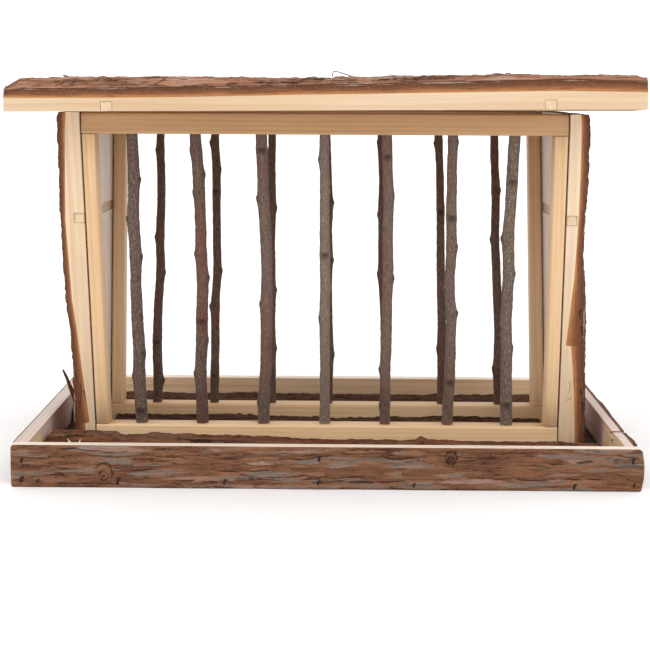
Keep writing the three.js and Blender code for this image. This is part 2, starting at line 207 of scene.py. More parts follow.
def pine_finish(name, pale, warm, ring, grey_from=None, grey=None):
    """Sawn or planed pine: faint growth rings about the grain's axis, fibres and broad warm streaks.

    Beyond the place grey_from along the grain, in metres, the wood turns towards the colour grey.
    """
    pale, warm, ring = rgb(pale), rgb(warm), rgb(ring)
    finish = Finish(name, 0.6, 0.35)
    grain = finish.attribute("grain")
    wander = finish.noise(grain, (2.5, 14, 14), 3, 0.5)
    patches = finish.noise(grain, (4, 26, 26), 2, 0.5)
    inputs = {"Vector": finish.stretched(grain, (0.2, 1, 1)), "Scale": 70, "Distortion": 7, "Detail": 2,
              "Detail Scale": 0.1}
    rings = finish.node("ShaderNodeTexWave", inputs, wave_type="RINGS", rings_direction="X",
                        wave_profile="SAW").outputs["Fac"]
    fibres = finish.noise(grain, (25, 1300, 1300), 3, 0.7)
    streaks = finish.noise(grain, (4, 150, 150), 4, 0.6)
    pores = finish.noise(grain, (350, 1600, 1600), 2, 0.5)
    body = finish.tint(pale, warm, wander, 0.35, 0.65)
    ring_share = finish.times(finish.levels(rings, 0.3, 1.0), finish.levels(patches, 0.35, 0.65, 0.1, 0.6))
    body = finish.mix(ring_share, body, ring)
    body = finish.tint(body, ring, streaks, 0.48, 0.7, 0.55)
    body = finish.tint(body, darker(ring, 0.55), fibres, 0.35, 0.8, 0.16)
    body = finish.tint(body, darker(ring, 0.45), pores, 0.62, 0.8, 0.2)
    if grey:
        along = finish.node("ShaderNodeSeparateXYZ", {0: grain}).outputs["X"]
        ragged = finish.plus(along, finish.levels(streaks, 0.3, 0.7, -0.012, 0.012))
        body = finish.tint(body, rgb(grey), ragged, grey_from, grey_from + 0.01, 0.8)
    finish.paint(body)
    finish.rough(fibres, 0.52, 0.68)
    finish.bump(finish.plus(fibres, finish.times(rings, 0.3)), 0.00012, 0.5)
    return finish.material


def bark_finish(name, tones, pale, dark, streak=(28, 240), share=1.0):
    """Outer bark: flakes in several browns and greys, long thin fissures, fibres and fine grit."""
    tones, pale, dark = [darker(rgb(tone), share) for tone in tones], rgb(pale), rgb(dark)
    shade = darker(tones[0], 0.5)
    finish = Finish(name, 0.9, 0.2)
    grain = finish.attribute("grain")
    plate, crack, rise = (finish.attribute(key) for key in ("plate", "crack", "rise"))
    mottle = finish.noise(grain, (streak[0], streak[1], streak[1]), 6, 0.62)
    fibres = finish.noise(grain, (55, 900, 1000), 5, 0.75)
    split = finish.noise(grain, (14, 190, 190), 5, 0.6, 0.5)
    where = finish.noise(grain, (16, 70, 70), 2, 0.5)
    grit = finish.noise(grain, (420, 1100, 1100), 4, 0.8)
    tone = finish.plus(plate, finish.levels(mottle, 0.32, 0.68, -0.2, 0.2))
    colour = finish.colours(tone, list(zip((0.0, 0.2, 0.38, 0.52, 0.66, 0.84, 1.0), tones)))
    colour = finish.tint(colour, shade, fibres, 0.52, 0.74, 0.5)
    colour = finish.tint(colour, pale, fibres, 0.45, 0.25, 0.34)
    colour = finish.tint(colour, pale, grit, 0.54, 0.74, 0.4)
    colour = finish.tint(colour, shade, grit, 0.46, 0.26, 0.45)
    line = finish.levels(finish.math("ABSOLUTE", finish.math("SUBTRACT", split, 0.5)), 0.014, 0.0)
    line = finish.times(line, finish.levels(where, 0.5, 0.62))
    # painted shade: the low places between the flakes are darkened
    colour = finish.tint(colour, shade, rise, 0.3, 0.0, 0.5)
    colour = finish.mix(finish.times(line, 0.85), colour, dark)
    # the crack values darken real fissures and also the painted shadow along the flakes' edges
    colour = finish.tint(colour, dark, crack, 0.12, 0.8, 0.9)
    finish.paint(colour)
    height = finish.plus(fibres, finish.plus(grit, mottle))
    finish.bump(finish.math("SUBTRACT", height, line), 0.0006, 0.9)
    return finish.material


def cut_bark_finish(name, outer, middle, inner, rim_colour):
    """The sawn edge of the bark: orange next to the wood, through brown to a dark outer line, and painted
    shade under the outer bark.
    """
    outer, middle, inner, rim_colour = (rgb(code) for code in (outer, middle, inner, rim_colour))
    finish = Finish(name, 0.8, 0.25)
    grain = finish.attribute("grain")
    layers = finish.noise(grain, (32, 330, 420), 6, 0.75)
    grit = finish.noise(grain, (500, 900, 900), 4, 0.8)
    rise = finish.attribute("rise")
    place = finish.plus(rise, finish.levels(layers, 0.3, 0.7, -0.14, 0.14))
    colour = finish.colours(place, [(0.0, inner), (0.1, inner), (0.34, middle), (0.75, outer)])
    colour = finish.tint(colour, darker(outer, 0.6), layers, 0.52, 0.72, 0.55)
    colour = finish.tint(colour, inner, grit, 0.52, 0.7, 0.5)
    colour = finish.tint(colour, darker(outer, 0.7), grit, 0.45, 0.25, 0.4)
    rim = finish.times(finish.levels(rise, 0.8, 0.88), finish.levels(layers, 0.53, 0.6))
    colour = finish.mix(finish.times(rim, 0.6), colour, rim_colour)
    # painted shade: a dark line in the gap under the outer bark's edge
    gap = finish.times(finish.levels(rise, 0.93, 0.99), finish.levels(layers, 0.44, 0.52))
    colour = finish.mix(finish.times(gap, 0.85), colour, darker(outer, 0.3))
    finish.paint(colour)
    finish.bump(finish.plus(layers, grit), 0.0003, 0.7)
    return finish.material


def branch_finish(name, *codes):
    """Young bark: lengthwise streaks, pale dots, darker knots and reddish stretches."""
    grey, brown, red, dark, pale = (rgb(code) for code in codes)
    finish = Finish(name, 0.78, 0.3)
    grain = finish.attribute("grain")
    knot, tone = finish.attribute("knot"), finish.attribute("tone")
    stretches = finish.noise(grain, (9, 25, 25), 3, 0.55)
    streaks = finish.noise(grain, (110, 900, 900), 5, 0.7)
    cells = finish.noise(grain, (430, 1250, 1250), 3, 0.7)
    coarse = finish.levels(tone, 0.4, 0.0)
    body = finish.mix(tone, grey, brown)
    reddish = finish.levels(stretches, 0.46, 0.6, 0.0, 0.8)
    body = finish.mix(finish.times(reddish, finish.levels(tone, 0.2, 0.7, 0.15, 1.0)), body, red)
    body = finish.tint(body, dark, streaks, 0.48, 0.68, 0.75)
    dots = finish.times(finish.levels(cells, 0.52, 0.66), finish.levels(coarse, 0.0, 1.0, 0.3, 0.75))
    body = finish.mix(dots, body, pale)
    pits = finish.times(finish.levels(cells, 0.48, 0.34), finish.levels(coarse, 0.0, 1.0, 0.35, 0.85))
    body = finish.mix(pits, body, dark)
    body = finish.mix(finish.attribute("pale"), body, pale)
    body = finish.tint(body, dark, knot, 0.15, 0.9, 0.7)
    finish.paint(body)
    finish.bump(finish.plus(streaks, cells), 0.0005, 0.8)
    return finish.material


def object_finish(name, roughness):
    """A finish and the object's own coordinates for its figure."""
    finish = Finish(name, roughness)
    return finish, finish.node("ShaderNodeTexCoord").outputs["Object"]


def steel_finish(name):
    """Zinc-plated steel with fine rolling marks and a few dull clouds."""
    finish, place = object_finish(name, 0.35)
    finish.feed(finish.shader.inputs["Metallic"], 1.0)
    marks = finish.noise(place, (60, 3000, 3000), 3, 0.6)
    clouds = finish.noise(place, 90, 3, 0.6)
    finish.paint(finish.tint(rgb(0xCED0D2), rgb(0xB0B2B4), clouds, 0.3, 0.7))
    finish.rough(finish.times(finish.plus(marks, clouds), 0.5), 0.26, 0.48)
    finish.bump(marks, 0.00004, 0.5)
    return finish.material


def plain_finish(name, colour, roughness):
    """Nail heads, resin, holes and glue: one colour, slightly uneven."""
    finish, place = object_finish(name, roughness)
    blotches = finish.noise(place, 900, 3, 0.6)
    finish.paint(finish.tint(rgb(colour), rgb(0x462D20), blotches, 0.45, 0.7))
    finish.bump(blotches, 0.0002, 0.5)
    return finish.material


PINE = pine_finish("pine_rails", 0xE6C69E, 0xDEB88C, 0xCC9C6C)
PALE_PINE = pine_finish("pine_slab_edges", 0xE8D2B6, 0xE2C8A8, 0xCEAC86)
ROOF_PINE = pine_finish("pine_roof_edges", 0xD8BEA0, 0xD2B492, 0xC29C74)
# Painted light: the panels' inner faces in a grey weathered tint, made almost white to stand in for light
# that these side-facing faces don't get
GREY_PAINTED_LIGHT_PINE = pine_finish("pine_weathered_faces_painted_light", 0xFEF4EC, 0xFAECE0, 0xEAD4C2)
# Painted shade: the same pine made browner for the top rails and the roof's underside, in the shade under the
# roof
SHADED_PINE = pine_finish("pine_top_rails", 0xCAA278, 0xC0966C, 0xA87A50)
TRAY_PINE = pine_finish("pine_tray_faces", 0xF0D2B0, 0xE8C49C, 0xD2A472)
# The side boards' inner faces turn greyer towards the rear; the right board's grey is made paler as painted
# light against the shade near its end panel
LEFT_TRAY_PINE = pine_finish("pine_left_tray_face", 0xF4E0BE, 0xF0D6B0, 0xD6AC7C, 0.822, 0xD4BEB8)
RIGHT_TRAY_PINE = pine_finish("pine_right_tray_face", 0xF0D2B0, 0xE8C49C, 0xD2A472, 1.68, 0xEEDEDC)
TRAY_EDGE_PINE = pine_finish("pine_tray_edges", 0xEEE0D2, 0xE8D6C4, 0xD6BCA4)
SIDE_EDGE_PINE = pine_finish("pine_tray_side_edges", 0xD8C8BE, 0xD2C0B4, 0xC2A896)
JOINT_PINE = pine_finish("pine_joined_end", 0xECD4B0, 0xE2C296, 0xCC9C68)
END_PINE = pine_finish("pine_batten_ends", 0xDEC6A6, 0xD6BC9A, 0xC2A07A)
CUT_BARK = cut_bark_finish("bark_sawn_edge", 0x5C3A2A, 0x7C5037, 0xAC7448, 0xC0AE9C)
BARK_TONES = (0x54382B, 0x6A4836, 0x7A523C, 0x865E47, 0x70685E, 0x9A6C5D, 0x90867A)
PANEL_TONES = (0x4A2E21, 0x6E4632, 0x84543C, 0x96644A, 0x7C6252, 0xA0725E, 0x9C9084)
ROOF_TONES = (0x5C3D2E, 0x885E48, 0x9C6C54, 0xAA7C62, 0x968071, 0xBC8E78, 0xCEC4BA)
FLOOR_TONES = (0x3E261C, 0x5C3A29, 0x704630, 0x80543B, 0x5E5041, 0x865A46, 0x786C5E)
BARK = bark_finish("bark_boards", BARK_TONES, 0xAC886E, 0x281B16)
PANEL_BARK = bark_finish("bark_panels", PANEL_TONES, 0xBA8C6E, 0x221611)
ROOF_BARK = bark_finish("bark_roof", ROOF_TONES, 0xD6B49A, 0x2A1C16, (15, 400))
FLOOR_BARK = bark_finish("bark_floor", FLOOR_TONES, 0xA67456, 0x1A110D, (20, 320))
# Painted shade: the floor bark at half its brightness for the slats further back, under the rack
SHADED_FLOOR_BARK = bark_finish("bark_floor_painted_shade", FLOOR_TONES, 0x7C5A44, 0x160F0C, (20, 320), 0.5)
SPLINTER_BARK = bark_finish("bark_splinter", PANEL_TONES, 0x705446, 0x1A120F, share=0.4)
BRANCH = branch_finish("branch_bark", 0x62544B, 0x644E44, 0x6C4439, 0x221A17, 0xBAA896)
STEEL = steel_finish("zinc_plate")
NAIL = plain_finish("nail_heads", 0x16100E, 0.95)
RESIN = plain_finish("resin_lines", 0x422A1C, 0.8)
HOLE = plain_finish("bark_holes", 0x1E1410, 0.9)
GLUE = plain_finish("glue_lines", 0x967054, 0.8)


# ---- Mesh making ----

def quads(grid):
    """Faces between neighbouring rows and columns of point numbers."""
    return np.stack([grid[:-1, :-1], grid[1:, :-1], grid[1:, 1:], grid[:-1, 1:]], -1).reshape(-1, 4)


def closed(loops):
    """The same loops of point numbers with their first column repeated at the end."""
    return np.concatenate([loops, loops[:, :1]], 1)


def is_inside_out(points, faces):
    """Whether the closed surface of four-sided faces encloses a negative volume."""
    a, b, c, d = (points[faces[:, k]] - points.mean(0) for k in range(4))
    return float((a * (np.cross(b, c) + np.cross(c, d))).sum()) < 0


def make_piece(name, body, points, four_sided, others, finishes, finish_of, attributes, node=None,
               sharp=38):
    """A mesh piece from points in millimetres. finish_of has one number for each face in turn."""
    faces = four_sided.tolist() + [list(face) for face in others]
    if is_inside_out(points, four_sided):
        faces = [face[::-1] for face in faces]
    mesh = bpy.data.meshes.new(name)
    mesh.from_pydata((points * MM).tolist(), [], faces)
    for finish in finishes:
        mesh.materials.append(finish)
    mesh.polygons.foreach_set("material_index", np.asarray(finish_of, np.int32))
    for key, values in attributes.items():
        kind, field = ("FLOAT_VECTOR", "vector") if key == "grain" else ("FLOAT", "value")
        layer = mesh.attributes.new(key, kind, "POINT")
        layer.data.foreach_set(field, np.asarray(values, np.float32).ravel())
    mesh.polygons.foreach_set("use_smooth", np.ones(len(mesh.polygons), bool))
    mesh.update()
    mesh.set_sharp_from_angle(angle=math.radians(sharp))
    piece = bpy.data.objects.new(name, mesh)
    bpy.context.scene.collection.objects.link(piece)
    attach(piece, body)
    if node:
        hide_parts(node)
    return piece


def make_tube(name, body, rounds, finish, attributes, node=None, sharp=38):
    """A mesh piece from rounds of points, each round closed and the two ends capped."""
    number = np.arange(rounds.size // 3).reshape(rounds.shape[:2])
    four_sided = quads(closed(number))
    ends = (number[0].tolist(), number[-1][::-1].tolist())
    make_piece(name, body, rounds.reshape(-1, 3), four_sided, ends, (finish,),
               [0] * (len(four_sided) + 2), attributes, node, sharp)


def lines(start, end, step, extra=()):
    """Places from start to end at about one step, with a few wanted ones put in."""
    places = np.linspace(start, end, max(2, int(round((end - start) / step)) + 1))
    for place in extra:
        keep = np.abs(places - place) > 0.3 * step
        keep[[0, -1]] = True
        places = places[keep]
    return np.unique(np.concatenate([places, np.asarray(extra, float)]))


# ---- Slabs of wood with their bark on ----

def groove_lines(grooves):
    """Lines close on both sides of every wall of the grooves."""
    return [edge + side * 0.04 for start, end, _ in grooves for edge in (start, end) for side in (-1, 1)]


# Shares of the bark's height at which its sawn edge has a row of points.
SAWN_BARK_ROWS = (0.92, 0.7, 0.35)


def slab(node, body, lines_s, lines_t, place, wood, bark, finishes, shift, seed, grooves=(), chamfer=0.5):
    """A sawn slab with its bark on, in place of a CAD node.

    s runs along the grain and t across it; place(s, t, depth) gives a point, depth 0 being the sawn
    face. wood is the depth of the wood, or wood(s, t) gives it, and bark(s, t) gives the height of the
    bark on it with its plate and crack values. finishes are for the outer bark, the sawn bark, the
    wood and, if it differs, the sawn face. shift moves the grain's figure. grooves are
    (start, end, depth) channels across the sawn face.
    """
    s, t = np.meshgrid(lines_s, lines_t, indexing="ij")
    last_s, last_t = s.shape[0] - 1, s.shape[1] - 1
    wood_depth = (wood(s, t) if callable(wood) else wood) + np.zeros(s.shape)
    height, plate, crack = bark(s, t)
    number = np.arange(s.size).reshape(s.shape)
    rim = np.concatenate([number[:, 0], number[-1, 1:], number[-2::-1, -1], number[0, -2:0:-1]])
    size = len(rim)
    rs, rt, rw, rh, rp, rc = (a.ravel()[rim] for a in (s, t, wood_depth, height, plate, crack))

    recess = np.zeros(size)
    for start, end, depth in grooves:
        recess[(rs > start) & (rs < end)] = depth
    inward_s = np.where(rs <= lines_s[0], 1, np.where(rs >= lines_s[-1], -1, 0))
    inward_t = np.where(rt <= lines_t[0], 1, np.where(rt >= lines_t[-1], -1, 0))
    ragged = 0.2 + 0.9 * fractal(rs / 6 + rt, rt / 6 - rw, seed + 71, 3)
    rows = [(ragged * share, rw + rh * share, share) for share in SAWN_BARK_ROWS]
    rows.append((0 * rs, rw, 0.0))
    rows.append((0 * rs, np.minimum(recess + chamfer, rw - 0.2), 0.0))
    rows.append((0 * rs + chamfer, recess, 0.0))

    places = [(s, t, wood_depth + height)]
    relief = height / max(1.0, float(height.max()))
    # rims count as fully raised, which puts the sawn bark's painted shade line just below them
    relief.ravel()[rim] = 1.0
    plates, cracks, rises = [plate.ravel()], [crack.ravel()], [relief.ravel()]
    for inset, depth, share in rows:
        places.append((rs + inward_s * inset, rt + inward_t * inset, depth))
        plates.append(rp)
        cracks.append(0.25 * rc)
        rises.append(np.full(size, share))
    points = np.concatenate([place(*at).reshape(-1, 3) for at in places])
    grain = np.concatenate([np.stack(at, -1).reshape(-1, 3) for at in places]) + np.array(shift)
    attributes = {"grain": grain * MM, "plate": np.concatenate(plates), "crack": np.concatenate(cracks),
                  "rise": np.concatenate(rises)}

    loops = np.stack([rim] + [s.size + r * size + np.arange(size) for r in range(len(rows))])
    base = loops[-1]
    side_a = base[1:last_s]
    side_b = base[last_s + last_t:2 * last_s + last_t + 1][::-1][1:last_s]
    top, wall, under = quads(number), quads(closed(loops)), quads(np.stack([side_b, side_a], 1))
    far_end = base[last_s - 1:last_s + last_t + 2][::-1]
    near_end = np.concatenate([base[2 * last_s + last_t - 1:], base[:2]])[::-1]
    bark_faces = (len(SAWN_BARK_ROWS) + 1) * size
    wood_faces = len(wall) - bark_faces
    finish_of = [0] * len(top) + [1] * bark_faces + [2] * wood_faces + [len(finishes) - 1] * (len(under) + 2)
    return make_piece(node + "_sawn", body, points, np.concatenate([top, wall, under]),
                      (far_end.tolist(), near_end.tolist()), finishes, finish_of, attributes, node)


# ---- Planed bars ----

def bar(node, body, lines_u, half_a, half_b, place, finish, shift, radius, end_cut=0.6):
    """A planed bar with rounded edges: u runs along the grain, a and b across it from the middle."""
    corner = np.linspace(0, math.pi / 2, 5)
    hold = 0.5  # a point this far beyond each arc keeps the flat face flat
    outline = []
    for turn, (side_a, side_b) in enumerate(((1, 1), (-1, 1), (-1, -1), (1, -1))):
        angles = corner + turn * math.pi / 2
        centre_a, centre_b = side_a * (half_a - radius), side_b * (half_b - radius)
        arc = [(centre_a + radius * math.cos(k), centre_b + radius * math.sin(k)) for k in angles]
        along_b, along_a = (0, -side_b * hold), (-side_a * hold, 0)
        first, last = (along_b, along_a) if turn % 2 == 0 else (along_a, along_b)
        outline.append((arc[0][0] + first[0], arc[0][1] + first[1]))
        outline += [*arc, (arc[-1][0] + last[0], arc[-1][1] + last[1])]
    a, b = np.array(outline).T
    end_a, end_b = a * ((half_a - end_cut) / half_a), b * ((half_b - end_cut) / half_b)
    stations = [(lines_u[0], end_a, end_b), (lines_u[0] + end_cut, a, b)]
    stations += [(u, a, b) for u in lines_u[1:-1]]
    stations += [(lines_u[-1] - end_cut, a, b), (lines_u[-1], end_a, end_b)]
    local = np.concatenate([point(u, *across) for u, *across in stations])
    number = np.arange(len(local)).reshape(len(stations), len(a))
    four_sided = quads(closed(number))
    ends = (number[0][::-1].tolist(), number[-1].tolist())
    # quads() turns the wall one way round, and the ends follow it
    if is_inside_out(local, four_sided):
        ends = tuple(end[::-1] for end in ends)
        four_sided = four_sided[:, ::-1]
    grain = (local + np.array(shift)) * MM
    make_piece(node + "_planed", body, place(*local.T), four_sided, ends, (finish,),
               [0] * (len(four_sided) + 2), {"grain": grain}, node, sharp=50)


# ---- Bark surfaces ----

FLAKE_TONES = (0.16, 0.3, 0.38, 0.46, 0.54, 0.66, 0.68, 0.7, 0.86)
FLAKE_LIFT = 0.4
# Length, width and crowding of the flakes.
BOARD_FLAKES, FLOOR_FLAKES, PANEL_FLAKES = (58, 6.5, 2.3), (60, 7, 1.6), (46, 10, 1.5)
ROOF_FLAKES, ROOF_FRONT_FLAKES = (60, 10, 2.2), (80, 4.5, 2.2)


def flaky(s, t, seed, length, width, crowding):
    """Relief from 0 to 1 of flaky bark along s, and the tone and crack values its finish needs.

    Long pointed flakes, some broken off square, lie over one another on a streaky ground; the crack values
    also hold a painted shadow along each flake's edge, strongest below it.
    """
    random = np.random.default_rng(seed)
    along = s + 7.0 * (fractal(s / 18, t / 3, seed + 3, 3) - 0.5)
    across = t + 0.3 * width * (fractal(s / 20, t / 7, seed + 5, 3) - 0.5)
    across = across + 1.5 * (fractal(s / 6, t / 3, seed + 8, 3) - 0.5)
    streaks = fractal(s / 34, t / 2.2, seed + 61, 4)
    broad = fractal(s / 70, t / 12, seed + 67, 3)
    relief = 0.28 + 0.5 * (streaks - 0.5) + 0.35 * (broad - 0.5)
    plate = 0.16 + 0.34 * fractal(s / 40, t / 5, seed + 71, 3)
    crack = 0.0 * s
    count = int(crowding * np.ptp(s) * np.ptp(t) / (length * width))
    for _ in range(count):
        middle_s = random.uniform(s.min() - length / 4, s.max() + length / 4)
        middle_t = random.uniform(t.min(), t.max())
        half_s, half_t = length * random.uniform(0.2, 0.75), width * random.uniform(0.2, 0.55)
        tilt, bow = random.normal(0, 0.012), random.normal(0, 0.35)
        broken = random.uniform(-1.2, 1.6)
        tone, rise = FLAKE_TONES[random.integers(len(FLAKE_TONES))], FLAKE_LIFT * random.uniform(0.35, 1.0)
        u = (along - middle_s) / half_s
        v = (across - middle_t - tilt * (along - middle_s)) / half_t - bow * u * u
        depth_in = np.maximum(1 - u * u, 0) ** 0.8 - np.abs(v)
        depth_in = np.minimum(depth_in, (broken + 1.3 - u) * half_s / half_t)
        inside = ramp(depth_in * half_t, 0, 0.7)
        # painted shadow: a dark line just outside the flake's edge, strongest on its lower side
        under = np.exp(-((depth_in * half_t + 0.3) / 0.55) ** 2) * np.where(v < -0.1, 1.0, 0.25)
        relief = relief + rise * inside * (1 - 0.35 * np.clip(depth_in, 0, 1))
        plate = plate * (1 - inside) + (tone + 0.12 * (streaks - 0.5)) * inside
        strength = random.uniform(0.0, 1.0) ** 1.3
        open_here = ramp(noise(s / 11, t / 9, seed + 77), 0.25, 0.5)
        crack = np.maximum(crack * (1 - inside), under * strength * open_here)
    for _ in range(count // 2):
        middle_s, middle_t = random.uniform(s.min(), s.max()), random.uniform(t.min(), t.max())
        half_s, half_t = random.uniform(4, 22), random.uniform(0.35, 0.8)
        u, v = (along - middle_s) / half_s, (across - middle_t) / half_t
        slit = ramp(1 - u * u - np.abs(v), -0.4, 0.6)
        crack = np.maximum(crack, random.uniform(0.3, 1.0) * slit)
        relief = relief - 0.25 * slit
    return np.clip(relief, 0, 1.6) / 1.6, plate, crack


def edge_distance(s, t, lines_s, lines_t):
    across = np.minimum(t - lines_t[0], lines_t[-1] - t)
    return np.minimum(across, np.minimum(s - lines_s[0], lines_s[-1] - s))


# ---- The tray's boards ----

tray_low, tray_high = box_mm("tray_front_board")
tray_length = tray_high[0] - tray_low[0]
tray_height = tray_high[2] - tray_low[2]
tray_inner_y = abs(tray_high[1])
tray_inner_x = box_mm("tray_right_board_rear")[0][0]
side_end = box_mm("tray_left_board")[1][1]
half_length = tray_length / 2
# Along the board, up it, radius, tone and crustiness of the knots in the long boards' bark.
FRONT_KNOTS = ((-211.5, 15.0, 9.0, 0.36, 0.35), (119.6, 31.0, 6.5, 0.1, 0.9))
BACK_KNOTS = ((96.0, 22.0, 8.0, 0.3, 0.5),)
# Long cracks in the front board's bark: start, end, height and how grey the bark below each is.
FRONT_CRACKS = ((-262, -178, 36.5, 0.4), (-254, -218, 17.3, 0.9), (-195, -132, 18.4, 1.0),
                (-112, -28, 17.5, 1.0), (-55, 112, 31.5, 1.0), (-31, 95, 8.6, 0.2), (171, 273, 11.0, 0.9),
                (179, 213, 33.0, 0.3), (196, 300, 28.0, 0.8))


def long_crack(s, t, seed, start, end, height):
    """How deep in a long wavy crack each place is, and how much of the grey-green bark below it."""
    line = height + 1.3 * np.sin(s / 15 + height) + 2.4 * (noise(s / 26, 0 * s, seed) - 0.5)
    line = line + 1.8 * (fractal(s / 8, 0 * s, seed + 2, 3) - 0.5)
    reach = ramp(s, start, start + 14) * (1 - ramp(s, end - 14, end))
    width = 0.3 + 0.6 * noise(s / 9, 0 * s, seed + 1)
    open_here = 0.2 + 0.75 * ramp(noise(s / 13, 0 * s, seed + 3), 0.35, 0.6)
    below = ramp(t, line - 8, line - 5) * (1 - ramp(t, line - 1, line))
    return reach * open_here * np.exp(-((t - line) / width) ** 2), reach * below


GREY_TONE = 0.66  # what the bark finish paints grey-green


def knotted(s, t, seed, surface, knot):
    """The relief, plate and crack values with a ringed oval knot grown in."""
    relief, plate, crack = surface
    knot_s, knot_t, size, tone, crust = knot
    away = np.hypot(s - knot_s, (t - knot_t) / 1.15) / size
    away = away * (0.9 + 0.2 * fractal(s / 5, t / 5, seed + 12, 2))
    within = 1 - ramp(away, 0.7, 1.15)
    rings = 0.5 + 0.2 * np.cos(13 * away) + 0.3 * (fractal(s / 2.5, t / 2.5, seed + 9, 3) - 0.5)
    relief = relief * (1 - within) + within * rings
    knot_plate = 0.85 * tone + 0.3 * (fractal(s / 2, t / 2, seed + 18, 2) - 0.5)
    plate = plate * (1 - 0.85 * within) + within * knot_plate
    upper_right = ramp(t - knot_t + 0.6 * (s - knot_s), -3, 4)
    gap = np.exp(-((away - 0.92) / 0.09) ** 2) * (0.25 + 0.75 * upper_right)
    from_heart = np.hypot(s - knot_s, t - knot_t + 0.3 * size) / size
    heart = np.exp(-((from_heart - 0.5) / 0.1) ** 2) + 0.4 * (1 - ramp(from_heart, 0.1, 0.3))
    lines_round = np.clip(np.cos(15 * away + 2 * fractal(s / 5, t / 5, seed + 15, 2)), 0, 1) ** 5
    worn = ramp(noise(s / 3, t / 3, seed + 16), 0.3, 0.6)
    crack = crack * (1 - within) + within * (0.4 + crust) * lines_round * worn
    crack = crack + 0.8 * gap + 0.85 * heart * (0.5 + 0.5 * worn)
    return relief, plate, np.clip(crack, 0, 1)


def board_bark(lines_s, lines_t, seed, low, high, knots, cracks, edge_share):
    def bark(s, t):
        relief, plate, crack = flaky(s, t, seed, *BOARD_FLAKES)
        crack = crack * (0.85 if cracks else 1.0)
        for knot in knots:
            relief, plate, crack = knotted(s, t, seed, (relief, plate, crack), knot)
        for k, (start, end, height, grey) in enumerate(cracks):
            split, below = long_crack(s, t, seed + 30 + 7 * k, start, end, height)
            crack = np.maximum(crack, split)
            relief = relief - 0.35 * split
            plate = plate * (1 - 0.8 * grey * below) + 0.8 * grey * below * GREY_TONE
        rounding = ramp(edge_distance(s, t, lines_s, lines_t), 0, 3.0)
        corner = np.sqrt(1 - (1 - rounding) ** 2)
        height = low + (high - low) * np.clip(relief, 0, 1)
        return height * (edge_share + (1 - edge_share) * corner), plate, crack
    return bark


JOINT_Y, FINGER_LENGTH, FINGER_PITCH, JOINT_GAP = -100, 9, 8.2, 0.8
JOINT_STEP, JOINT_DROP, JOINT_BLEND = 0.6, 1.1, 30


def tray_board(name, ends, place, wood, bark, seed, inner, knots=(), cracks=(), step=1.6, step_up=1.2,
               edge_share=0.3, sawn=CUT_BARK, edge=TRAY_EDGE_PINE, clear_start=0):
    """A board of the tray. bark is its least and greatest height, of which edge_share is left at the rim."""
    finger_lines = np.arange(FINGER_PITCH / 2, tray_height - 1, FINGER_PITCH / 2)
    lines_s, lines_t = lines(*ends, step), lines(0, tray_height, step_up, finger_lines)
    lines_s = lines_s[(lines_s <= ends[0]) | (lines_s > ends[0] + clear_start)]
    surface = board_bark(lines_s, lines_t, seed, *bark, knots, cracks, edge_share)
    return slab(f"tray_{name}", "rack", lines_s, lines_t, place, wood, surface, (BARK, sawn, edge, inner),
                (seed * 37, 20, 60 + seed), seed)


def rounded_end(s, d):
    """How far a long board's end is pulled in by its rounded outer corner."""
    inset = np.where(s < 0, -LEFT_ROUND, RIGHT_ROUND)
    return inset * ramp(d, 8, 16.5) ** 2 * ramp(np.abs(s), half_length - 20, half_length)


def rounded_corner(s, t):
    """How far a long board's end is pulled in near its top and bottom corners, and let out between them."""
    inset = 0
    for size, away in ((TOP_CORNER, tray_height - t), (FOOT_CORNER, t)):
        inset = inset + size * (1 - np.sqrt(1 - (1 - ramp(away, 0, size)) ** 2))
    belly = np.where(s < 0, LEFT_BELLY, RIGHT_BELLY) * np.sin(math.pi * np.clip(t / tray_height, 0, 1))
    return np.sign(s) * (0.8 * inset - belly) * ramp(np.abs(s), half_length - 14, half_length)


def long_board(facing):
    """Where a long board's points lie; facing is -1 for the front board and 1 for the back one."""
    return lambda s, t, d: point(s - rounded_end(s, d) - rounded_corner(s, t), facing * (tray_inner_y + d), t)


def left_board(s, t, d):
    return point(-tray_inner_x - d, s, t)


LONG_WOOD, LEFT_WOOD, RIGHT_WOOD = 12.0, 13.2, 8.6
LONG_BARK, LEFT_BARK, RIGHT_BARK = (1.2, 4.4), (1.0, 2.2), (3.2, 9.0)
SIDE_EDGE = {"edge_share": 0.9, "sawn": BARK, "edge": SIDE_EDGE_PINE}
LEFT_ROUND, RIGHT_ROUND = 2.6, 0.4
TOP_CORNER, FOOT_CORNER, LEFT_BELLY, RIGHT_BELLY = 3.2, 2.2, 0.2, 2.6
LONG_ENDS = (-half_length, half_length)
front_tray_board = tray_board("front_board", LONG_ENDS, long_board(-1), LONG_WOOD, LONG_BARK, 3, TRAY_PINE,
                              FRONT_KNOTS, FRONT_CRACKS, 1.2, 0.8)
back_tray_board = tray_board("back_board", LONG_ENDS, long_board(1), LONG_WOOD, LONG_BARK, 14, TRAY_PINE,
                             BACK_KNOTS)
tray_board("left_board", (-side_end, side_end), left_board, LEFT_WOOD, LEFT_BARK, 25, LEFT_TRAY_PINE,
           **SIDE_EDGE)


def fingers(height):
    """How far the finger joint's pointed line runs back at a height on the board."""
    return FINGER_LENGTH * (1 - np.abs(2 * np.mod(height / FINGER_PITCH, 1) - 1))


def front_length(s, t, d):
    near = ramp(s, JOINT_Y - JOINT_BLEND, JOINT_Y)
    drop = JOINT_DROP * near * t / tray_height
    return point(tray_inner_x + JOINT_STEP + d, s + near * fingers(t), t - drop)


def rear_length(s, t, d):
    near = 1 - ramp(s, JOINT_Y, JOINT_Y + JOINT_BLEND)
    return point(tray_inner_x + d, s + near * fingers(t), t)


